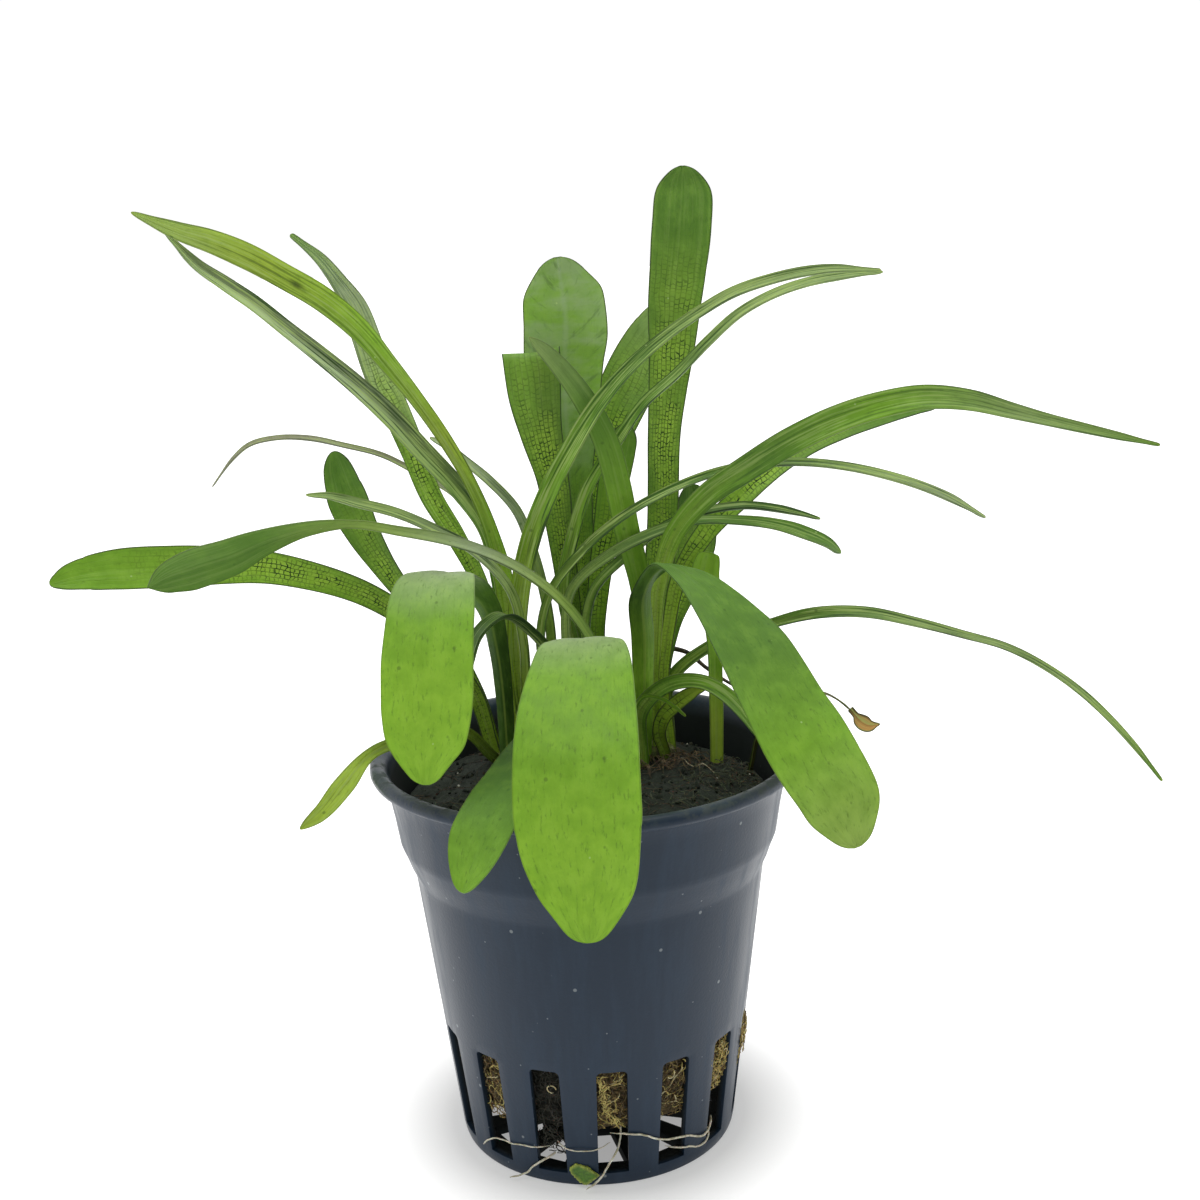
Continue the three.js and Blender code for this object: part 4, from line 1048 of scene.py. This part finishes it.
def open_slots(piece):
    """Takes the wall's faces out at each slot, sets its sides parallel, and closes the wall's thickness."""
    mesh = bmesh.new()
    mesh.from_mesh(piece.data)
    half_deg = COLUMNS_A_SLOT / 2 * 360 / POT_COLUMNS
    within = (SLOT_BOTTOM - 0.01, SLOT_TOP + 0.01)

    def in_slot(face):
        """Whether a face of the wall lies wholly within a slot."""
        off, _, radius, _ = round_from_slot(face.calc_center_median())
        heights = [v.co.z / MM for v in face.verts]
        return abs(off) < half_deg and radius > 15.5 and within[0] < min(heights) and max(heights) < within[1]

    bmesh.ops.delete(mesh, geom=[face for face in mesh.faces if in_slot(face)], context="FACES")
    sides = {}
    for vertex in mesh.verts:
        off, number, radius, height = round_from_slot(vertex.co)
        if not (radius > 15.5 and within[0] < height < within[1] and abs(off) < half_deg + 0.1):
            continue
        column = round(off / (360 / POT_COLUMNS))
        inner = radius < wall_radius(height) - WALL / 2
        sides[number, column, round(height, 2), inner] = vertex
        true_deg = math.degrees(math.asin(SLOT_WIDTH / COLUMNS_A_SLOT * abs(column) / radius))
        turn = Matrix.Rotation(math.radians(math.copysign(true_deg, off) - off), 3, "Z")
        vertex.co = turn @ vertex.co
    partner = {sides[k[:3] + (False,)]: sides[k[:3] + (True,)] for k in sides if not k[3]}
    for edge in [e for e in mesh.edges if e.is_boundary]:
        a, b = edge.verts
        if a in partner and b in partner:
            mesh.faces.new((b, a, partner[a], partner[b]))
    tops = []
    for edge in mesh.edges:
        a, b = edge.verts
        if partner.get(a) is not b and partner.get(b) is not a:
            continue
        off, _, _, height = round_from_slot(a.co)
        if abs(off) > half_deg * 0.8 and height > SLOT_TOP - 0.01:
            tops.append(edge)
    bmesh.ops.recalc_face_normals(mesh, faces=mesh.faces)
    bmesh.ops.bevel(mesh, geom=tops, offset=SLOT_CORNER * MM, offset_type="OFFSET", segments=4, profile=0.5,
                    affect="EDGES")
    mesh.to_mesh(piece.data)
    mesh.free()


def open_floor(piece):
    """Cuts the ring of tapered openings through the floor."""
    (inner, outer), (inner_width, outer_width) = FLOOR_OPENING_RADII, FLOOR_OPENING_WIDTHS
    deselect()
    bpy.ops.mesh.primitive_cube_add(size=1, location=(0, 0, 0))
    cutter = bpy.context.object
    for vertex in cutter.data.vertices:
        far, side, up = (c > 0 for c in vertex.co)
        width = outer_width if far else inner_width
        vertex.co = Vector((outer if far else inner, width / 2 * (1 if side else -1), 4 if up else -4)) * MM
    edit(cutter)
    bpy.ops.mesh.select_all(action="SELECT")
    for _ in range(1, FLOOR_OPENING_COUNT):
        bpy.ops.mesh.duplicate()
        bpy.ops.transform.rotate(value=-2 * math.pi / FLOOR_OPENING_COUNT, orient_axis="Z",
                                 center_override=(0, 0, 0))
    done()
    cutter.data.transform(Matrix.Rotation(math.radians(FIRST_FLOOR_OPENING_DEG - 90), 4, "Z"))
    cut = piece.modifiers.new("openings", "BOOLEAN")
    cut.operation = "DIFFERENCE"
    cut.solver = "EXACT"
    cut.object = cutter
    deselect()
    apply_modifiers(piece)
    bpy.data.objects.remove(cutter)


def pot(material):
    """The pot with its slots, floor openings, eased edges and soiled inside."""
    piece = spun_pot()
    open_slots(piece)
    open_floor(piece)
    rounding = piece.modifiers.new("edges", "BEVEL")
    rounding.width = 0.1 * MM
    rounding.segments = 2
    rounding.limit_method = "ANGLE"
    rounding.angle_limit = math.radians(55)
    apply_modifiers(piece)
    places = places_of(piece.data)
    inside = np.hypot(places[:, 0], places[:, 1]) < np.interp(places[:, 2], *MID_WALL)
    soiled = inside * np.clip((SOILED_BELOW - places[:, 2]) / SOILED_FADE, 0, MOST_SOILED)
    paint(piece.data, np.repeat(soiled[:, None], 4, axis=1))
    return finished(piece, "pot_moulding", material, ["pot"], 42)


# Growing medium: the plug, what lies on it, and the fibre in the slots

# How golden the fibre in a slot is, from 0, bare dark peat, to 1, and the height to which it hangs, in mm
SlotFill = namedtuple("SlotFill", "golden foot")
SLOT_FILLS = {
    0: SlotFill(0.21, 7.5), 1: SlotFill(0.25, 7.6), 2: SlotFill(0.95, 8.2), 3: SlotFill(0.85, 7.5),
    # Slot 14's dark fibre, hanging low, stands in for the shade inside that slot
    12: SlotFill(0.4, 7.4), 13: SlotFill(0.3, 6.6), 14: SlotFill(0.0, 3.8),
}


# How far the fibre swells out through a slot, in mm
SLOT_BULGES = {0: 0.3, 1: 0.3, 2: 0.8, 3: 1.3, 13: 0.4}


def slot_fill(number):
    """What fills a slot: as the photograph shows at the front, and in turn round the back."""
    return SLOT_FILLS.get(number, SlotFill((0.7, 0.3, 0.1, 0.5)[number % 4], 7.4))


def rough_at(place, size, seed=0.0):
    """Fractal unevenness between about -1 and 1, whose lumps are about size mm."""
    return noise.fractal(Vector(place) / size + Vector((seed, seed, seed)), 0.9, 2.1, 4)


def growing_medium(material):
    """The plug of peat and fibre: lumpy on top and in the slots, and tinted by what lies there."""
    piece = remeshed_copy("growing_medium", MEDIUM_GRAIN)
    places = places_of(piece.data)
    radii = np.hypot(places[:, 0], places[:, 1])
    top = places[:, 2] > PLUG_TOP_FROM
    for i in np.flatnonzero(top):
        edge = np.clip((SOIL_RADIUS - radii[i]) / 2, 0, 1)
        lumps = 0.45 * rough_at(places[i], 4.5) + 0.3 * rough_at(places[i], 1.4, 9.0)
        places[i, 2] += lumps * edge - 0.35 * (1 - edge)
    for i in np.flatnonzero(~top & (radii > 12)):
        inward = 1 - (0.25 + 0.3 * rough_at(places[i], 1.6, 4.0)) / radii[i]
        places[i, :2] *= inward
    move_to(piece.data, places)
    colours = np.tile(linear("#31382f"), (len(places), 1))
    degrees = np.degrees(np.arctan2(places[:, 0], -places[:, 1]))
    slot = np.round((degrees - FIRST_SLOT_DEG) / (360 / SLOT_COUNT)).astype(int) % SLOT_COUNT
    golden, brown, dark = (np.array(linear(c)) for c in ("#8a7842", "#43392a", "#26271f"))
    for k in range(SLOT_COUNT):
        # Slot 14's dark tint stands in for the shade inside it
        amount = slot_fill(k).golden
        shade = dark if amount < 0.2 else brown + (golden - brown) * amount
        colours[(places[:, 2] < 30) & (slot == k)] = shade
    paint(piece.data, colours)
    return finished(piece, "medium_plug", material, ["growing_medium"], 60)


def on_medium(plug, x, y):
    """The point of the medium's top above or below a place, in mm."""
    hit, place, _, _ = plug.ray_cast(Vector((x, y, 60)) * MM, Vector((0, 0, -1)))
    return np.array(place) / MM if hit else np.array((x, y, 43.0))


def disc_place(reach=SOIL_RADIUS - 0.4):
    """A random place on the medium's top, in mm."""
    angle, radius = RNG.uniform(0, 2 * math.pi), reach * math.sqrt(RNG.uniform())
    return radius * math.sin(angle), -radius * math.cos(angle)


def lying_strand(plug, x, y, heading, length, radius, lift=0.12, curl=0.45):
    """A strand that wanders over the medium from a place, in mm, and rises a little here and there."""
    steps = max(4, int(length / 0.5))
    points, turn = [], RNG.normal(0, curl * 0.4)
    phase = RNG.uniform(0, 6)
    for k in range(steps + 1):
        place = on_medium(plug, x, y)
        bow = lift * (1.2 + math.sin(k * 0.9 + phase))
        points.append(place + (0, 0, bow))
        heading += turn + RNG.normal(0, curl * 0.5)
        if math.hypot(x, y) > SOIL_RADIUS - 0.8:
            heading = math.atan2(-y, -x)
        x += math.cos(heading) * length / steps
        y += math.sin(heading) * length / steps
    taper = np.interp(np.linspace(0, 1, steps + 1), [0, 0.2, 0.8, 1], [0.5, 1, 1, 0.35])
    return np.array(points), radius * taper


def against(crumbs_so_far, place, size):
    """The place, brought nearer to its nearest earlier crumb where it would not touch it, in mm."""
    if not crumbs_so_far:
        return place
    nearest, other, _ = min(crumbs_so_far, key=lambda crumb: np.linalg.norm(crumb[0] - place))
    apart = np.linalg.norm(place - nearest)
    touching = CRUMB_OVERLAP * (size + other)
    return place if apart <= touching else nearest + (place - nearest) * touching / apart


def litter(plug):
    """What lies on the medium: crumbs of peat, brown and green hairs and a few white grains.

    Behind the dark slot a lump of peat hangs from the plug, and stops short of the floor: a dark mass that
    stands in for the shade inside that slot.
    """
    spots = []
    for _ in range(PEAT_CRUMBS):
        x, y = disc_place()
        size = RNG.uniform(0.25, 0.95)
        tint = ("#242b23", "#31382e", "#3c3e30", "#493f30")[min(3, int(RNG.exponential(1.0)))]
        spots.append((on_medium(plug, x, y) + (0, 0, size * 0.15), size, tint))
    # The lump's dark crumbs stand in for the shade inside the slot
    lump = []
    for _ in range(SHADE_LUMP_CRUMBS):
        height = RNG.uniform(*SHADE_LUMP_HEIGHTS)
        radius = min(RNG.uniform(11.5, 15.6), wall_radius(height) - WALL - 1.0)
        place = outward(FIRST_SLOT_DEG - 360 / SLOT_COUNT + RNG.uniform(-8, 8)) * radius
        tint = ("#20231b", "#2b2e24", "#383527")[min(2, int(RNG.exponential(0.8)))]
        size = RNG.uniform(1.0, 1.6)
        lump.append((against(lump, np.array((place.x, place.y, height)), size), size, tint))
    spots += lump
    crumbs("peat_crumbs", spots, wet_peat(), "growing_medium")
    brown = plant_fibre("old_peat_fibre", "#23221a", "#57503e")
    hairs = []
    for _ in range(PEAT_HAIRS):
        x, y = disc_place()
        length = RNG.uniform(1.5, 5)
        hairs.append(lying_strand(plug, x, y, RNG.uniform(0, 6.3), length, RNG.uniform(0.035, 0.075)))
    strands("peat_hairs", hairs, brown, "growing_medium")
    moss = plant_fibre("moss_hair", "#2a3022", "#606850", 0.6)
    tufts = []
    for centre, spread, count in MOSS_PATCHES:
        for _ in range(count):
            x, y = np.array(centre) + RNG.normal(0, spread, 2)
            if math.hypot(x, y) > SOIL_RADIUS - 0.6:
                continue
            length = RNG.uniform(0.9, 2.6)
            tufts.append(
                lying_strand(plug, x, y, RNG.uniform(0, 6.3), length, RNG.uniform(0.03, 0.06), 0.3, 0.8))
    strands("moss_hairs", tufts, moss, "growing_medium")
    spots = [(on_medium(plug, x, y) + (0, 0, 0.15), RNG.uniform(0.3, 0.5), "#ffffff")
             for x, y in WHITE_GRAINS]
    crumbs("white_grit", spots, quartz_grit(), "growing_medium")


def crown_roots(plug):
    """Fine light-brown roots that fan out from under the right crown, and one long pale one."""
    fine = plant_fibre("fine_root", "#3c3426", "#84745a", 0.6)
    lines = []
    for k in range(CROWN_ROOTS):
        heading = math.radians(-90 + 150 * (k / (CROWN_ROOTS - 1) - 0.5)) + RNG.normal(0, 0.12)
        x, y = 8.8 + 2.4 * math.cos(heading), 8.6 + 2.4 * math.sin(heading)
        length = RNG.uniform(3.5, 8.5)
        points, radii = lying_strand(plug, x, y, heading, length, RNG.uniform(0.045, 0.075), 0.5, 0.5)
        start = np.array((8.8 + 1.2 * math.cos(heading), 8.8 + 1.2 * math.sin(heading), 45.6))
        lines.append((np.vstack([start, points]), np.concatenate([[radii[1]], radii])))
    strands("crown_roots_fine", lines, fine, "root")
    pale = plant_fibre("pale_root", "#a5977a", "#cfc6ac", 0.45)
    points, radii = lying_strand(plug, 9.9, 8.4, math.radians(-62), 9.5, 0.075, 0.3, 0.12)
    strands("crown_root_pale", [(points, radii)], pale, "root", roundness=1)


def in_slot_frame(number, across, height, out=0.0):
    """A point in a slot: mm across it, its height, and mm out from the medium's side."""
    middle = FIRST_SLOT_DEG + number * 360 / SLOT_COUNT
    radius = wall_radius(height) - WALL - MEDIUM_GAP + out
    angle = middle + math.degrees(across / radius)
    return round_pot(angle, radius, height)


def slot_strand(number, across, height, length, radius, out):
    """A short kinked strand pressed against the inside of a slot."""
    heading = RNG.uniform(0, 2 * math.pi)
    turn = RNG.normal(0, 0.35)
    steps = max(3, int(length / 0.28))
    side, foot = SLOT_WIDTH / 2 + 0.3, slot_fill(number).foot
    points = []
    for _ in range(steps + 1):
        points.append(in_slot_frame(number, across, height, out + RNG.normal(0, 0.05)))
        heading += turn + RNG.normal(0, 0.35)
        across = float(np.clip(across + math.cos(heading) * length / steps, -side, side))
        height = float(np.clip(height + math.sin(heading) * length / steps, foot, SLOT_TOP + 0.5))
    taper = np.interp(np.arange(steps + 1), [0, 1, steps - 1, steps], [0.5, 1, 1, 0.5])
    return np.array(points), radius * taper


def slot_fibres():
    """The matted fibre that shows in the slots: golden moss fibre over brown peat fibre, and pale ends."""
    kinds = {
        "golden": (plant_fibre("golden_moss_fibre", "#8d7d40", "#c7b873"), []),
        "brown": (plant_fibre("brown_peat_fibre", "#352c1c", "#75643f"), []),
        "dark": (plant_fibre("dark_peat_fibre", "#1e1f1a", "#3a392f"), []),
        "pale": (plant_fibre("pale_straw_fibre", "#b3a576", "#d9d0a8"), []),
    }
    for number in range(SLOT_COUNT):
        golden, foot = slot_fill(number)
        for _ in range(FIBRES_A_SLOT):
            height = RNG.uniform(foot, SLOT_TOP + 0.4)
            across = RNG.uniform(-SLOT_WIDTH / 2 - 0.2, SLOT_WIDTH / 2 + 0.2)
            lot = RNG.uniform()
            kind = "golden" if lot < golden * 0.85 else "brown" if golden > 0.2 else "dark"
            if golden > 0.2 and lot > 0.96:
                kind = "pale"
            swell = math.sin(math.pi * np.clip((height - foot) / (SLOT_TOP - foot), 0, 1))
            out = RNG.uniform(-0.05, 0.4) + SLOT_BULGES.get(number, 0) * swell
            kinds[kind][1].append(
                slot_strand(number, across, height, RNG.uniform(0.8, 2.6), RNG.uniform(0.03, 0.075), out))
    for k in range(TRAILING_FIBRES):
        share = (k / (TRAILING_FIBRES - 1)) ** 0.7
        across = -1.3 + 2.0 * share**2.5 + RNG.normal(0, 0.12 + 0.3 * share**5)
        kinds["golden"][1].append(
            slot_strand(0, across, 15.3 - 7.3 * share, RNG.uniform(0.6, 1.2), RNG.uniform(0.05, 0.085), 0.6))
    for number, across, height in ((14, 0.4, 12.6), (12, 0.2, 13.5)):
        ring = [in_slot_frame(number, across + 0.55 * math.cos(a), height + 0.5 * math.sin(a), 0.3)
                for a in np.linspace(0, 5, 12)]
        kinds["pale"][1].append((np.array(ring), 0.07))
    across = np.linspace(-1.6, 1.5, 9)
    thread = [in_slot_frame(1, x, 12.2 + 1.05 * x + 0.15 * math.sin(4 * x), 0.5) for x in across]
    kinds["pale"][1].append((np.array(thread), 0.09))
    for kind, (material, lines) in kinds.items():
        strands("slot_fibre_" + kind, lines, material, "growing_medium")


# Roots, crowns, scrap and bits


def roots(material):
    """The white roots on the wall, each thinner towards its ends, with the slight knots of a living root."""
    for node, route in ROOTS.items():
        places = [round_pot(degrees, wall_radius(height) + out, height) for degrees, height, out in route]
        knots = lengths_along(places)
        at = np.linspace(0, knots[-1], int(knots[-1] / 0.3))
        points = smooth_through(knots, places, at)
        seed = sum(map(ord, node)) % 97
        sway = np.array([[rough_at(p, 2.5, seed + k) for k in range(3)] for p in points])
        ends = np.interp(at / knots[-1], [0, 0.06, 0.9, 1], [0.75, 1, 0.8, 0.3])
        points = points + 0.16 * sway
        points[:, 2] = np.maximum(points[:, 2], ROOT_RADIUS)
        share = THIN_ROOTS.get(node, USUAL_ROOT)
        thick = ROOT_RADIUS * share * ends * (1 + 0.16 * np.array([rough_at(p, 0.9, seed) for p in points]))
        strands(node + "_fine", [(points, thick)], material, "root", [node], roundness=2)


def crowns(material):
    """The feet of the shoots: the CAD stems with the folds of the sheaths that wrap them."""
    for node in ("crown_left", "crown_centre", "crown_right"):
        piece = remeshed_copy(node, 0.3)
        places = places_of(piece.data)
        middle = (places.min(0) + places.max(0)) / 2
        away = places - middle
        angles = np.arctan2(away[:, 0], -away[:, 1])
        folds = 0.09 * np.cos(5 * angles + 0.4 * away[:, 2]) + 0.05 * np.cos(11 * angles)
        places[:, :2] += unit(away[:, :2]) * folds[:, None]
        move_to(piece.data, places)
        finished(piece, node + "_sheaths", material, [node], 60)


def dead_stem_behind(material):
    """A dead dark stem that arches from behind the right crown and lies on the lip."""
    places = ((9.2, 11.5, 44.5), (9.6, 14.6, 52.5), (10.8, 16, 56), (13.4, 16, 55.6), (16, 16, 53.4),
              (18.1, 16, 51.8), (20.4, 15.6, 50.2), (21.6, 15.2, 48.8))
    knots = lengths_along(places)
    at = np.linspace(0, knots[-1], 50)
    thick = np.interp(at / knots[-1], [0, 0.35, 0.5, 0.8, 1], [0.3, 0.4, 0.34, 0.24, 0.12])
    strands("dead_stem_behind", [(smooth_through(knots, places, at), thick)], material, "straw", roundness=2)


def leaf_scrap(material):
    """The torn scrap on the wall: its edge ragged and yellow-green, its face buckled."""
    piece = remeshed_copy("leaf_scrap", 0.11)
    places = places_of(piece.data)
    middle = places.mean(0)
    normal = np.array(outward(math.degrees(math.atan2(middle[0], -middle[1]))))
    aside = np.cross((0, 0, 1), normal)
    flat = np.stack([(places - middle) @ aside, places[:, 2] - middle[2]], axis=1)
    reach = np.linalg.norm(flat, axis=1)
    angles = np.arctan2(flat[:, 0], flat[:, 1])
    bins = np.round(angles / (2 * math.pi) * SCRAP_EDGE_STEPS).astype(int) % SCRAP_EDGE_STEPS
    outer = np.array([reach[bins == b].max() for b in range(SCRAP_EDGE_STEPS)])
    inner = outer[bins] - reach
    ragged = np.array([rough_at((b * 0.9, 0, 0), 1.0) for b in range(SCRAP_EDGE_STEPS)])[bins]
    near = np.clip(1 - inner / 0.5, 0, 1)
    flat_shift = unit(flat) * (0.12 * ragged * near)[:, None]
    buckle = 0.12 * np.sin(flat[:, 0] * 1.7) * np.cos(flat[:, 1] * 1.3)
    places = places + flat_shift[:, :1] * aside + flat_shift[:, 1:] * (0, 0, 1)
    places = places + (buckle[:, None] - SCRAP_PRESSED) * normal
    places[:, 2] = np.maximum(places[:, 2], 0.02)
    move_to(piece.data, places)
    green, torn = np.array(linear("#557f22")), np.array(linear("#a8b04a"))
    paint(piece.data, green + (torn - green) * near[:, None])
    finished(piece, "leaf_scrap_torn", material, ["leaf_scrap"], 60)


# Stage: floor, light and camera


def stage_floor(material):
    """The table that the pot stands on, which isn't part of it."""
    deselect()
    bpy.ops.mesh.primitive_circle_add(vertices=96, radius=6, fill_type="NGON")
    floor = bpy.context.object
    floor.name = "light_table_top"
    floor.data.materials.append(material)


def soft_light(name, place, aim, size, watts):
    """A soft box at a place that shines at another, both in mm."""
    deselect()
    bpy.ops.object.light_add(type="AREA", location=Vector(place) * MM)
    lamp = bpy.context.object
    lamp.name = name
    lamp.data.shape = "RECTANGLE"
    lamp.data.size, lamp.data.size_y = size[0] * MM, size[1] * MM
    lamp.data.energy = watts
    lamp.rotation_euler = (Vector(place) - Vector(aim)).to_track_quat("Z", "Y").to_euler()


def studio():
    """The white tent round the plant, dimmer in front and above, and the soft box over it."""
    world = bpy.data.worlds.new("white_tent")
    bpy.context.scene.world = world
    world.use_nodes = True
    node = partial(add_node, world.node_tree)
    x = node("SeparateXYZ", {0: node("TexCoord")})
    walls = node("MapRange", {0: x.node.outputs["Y"], 1: -0.75, 2: 0.1, 3: DIM_FRONT, 4: WHITE_TENT},
                 interpolation_type="SMOOTHSTEP")
    roof = node("MapRange", {0: x.node.outputs["Z"], 1: 0.2, 2: 0.75, 3: 1.0, 4: DIM_ROOF},
                interpolation_type="SMOOTHSTEP")
    strength = node("Math", {0: walls, 1: roof}, operation="MULTIPLY")
    background = world.node_tree.nodes["Background"]
    background.inputs["Color"].default_value = (1, 1, 1, 1)
    world.node_tree.links.new(strength, background.inputs["Strength"])
    soft_light("top_soft_box", (-30, -60, 470), (0, 0, 60), (300, 300), TOP_WATTS)
    bpy.context.scene.view_settings.view_transform = "Standard"


def camera():
    """The camera at the photograph's place and turn."""
    lens = bpy.data.cameras.new("photo_camera")
    lens.sensor_width = CAMERA_SENSOR
    lens.lens = CAMERA_LENS
    lens.clip_start, lens.clip_end = 0.005, 50
    view = new_object("photo_camera", lens)
    turn = (Matrix.Rotation(math.radians(-CAMERA_YAW), 4, "Z")
            @ Matrix.Rotation(math.radians(90 - CAMERA_PITCH), 4, "X")
            @ Matrix.Rotation(math.radians(CAMERA_ROLL), 4, "Z"))
    view.matrix_world = Matrix.Translation(Vector(CAMERA_PLACE) * MM) @ turn
    bpy.context.scene.camera = view


camera()
studio()
stage_floor(light_table())
pot(moulded_polypropylene())
medium = growing_medium(wet_peat())
litter(medium)
crown_roots(medium)
slot_fibres()
leaves()
crowns(leaf_sheath())
roots(plant_fibre("live_root", "#a39c80", "#dcd8c6", 0.45))
dead_stem_behind(plant_fibre("dead_stem_bark", "#26211a", "#55483a", 0.6))
leaf_scrap(torn_leaf())
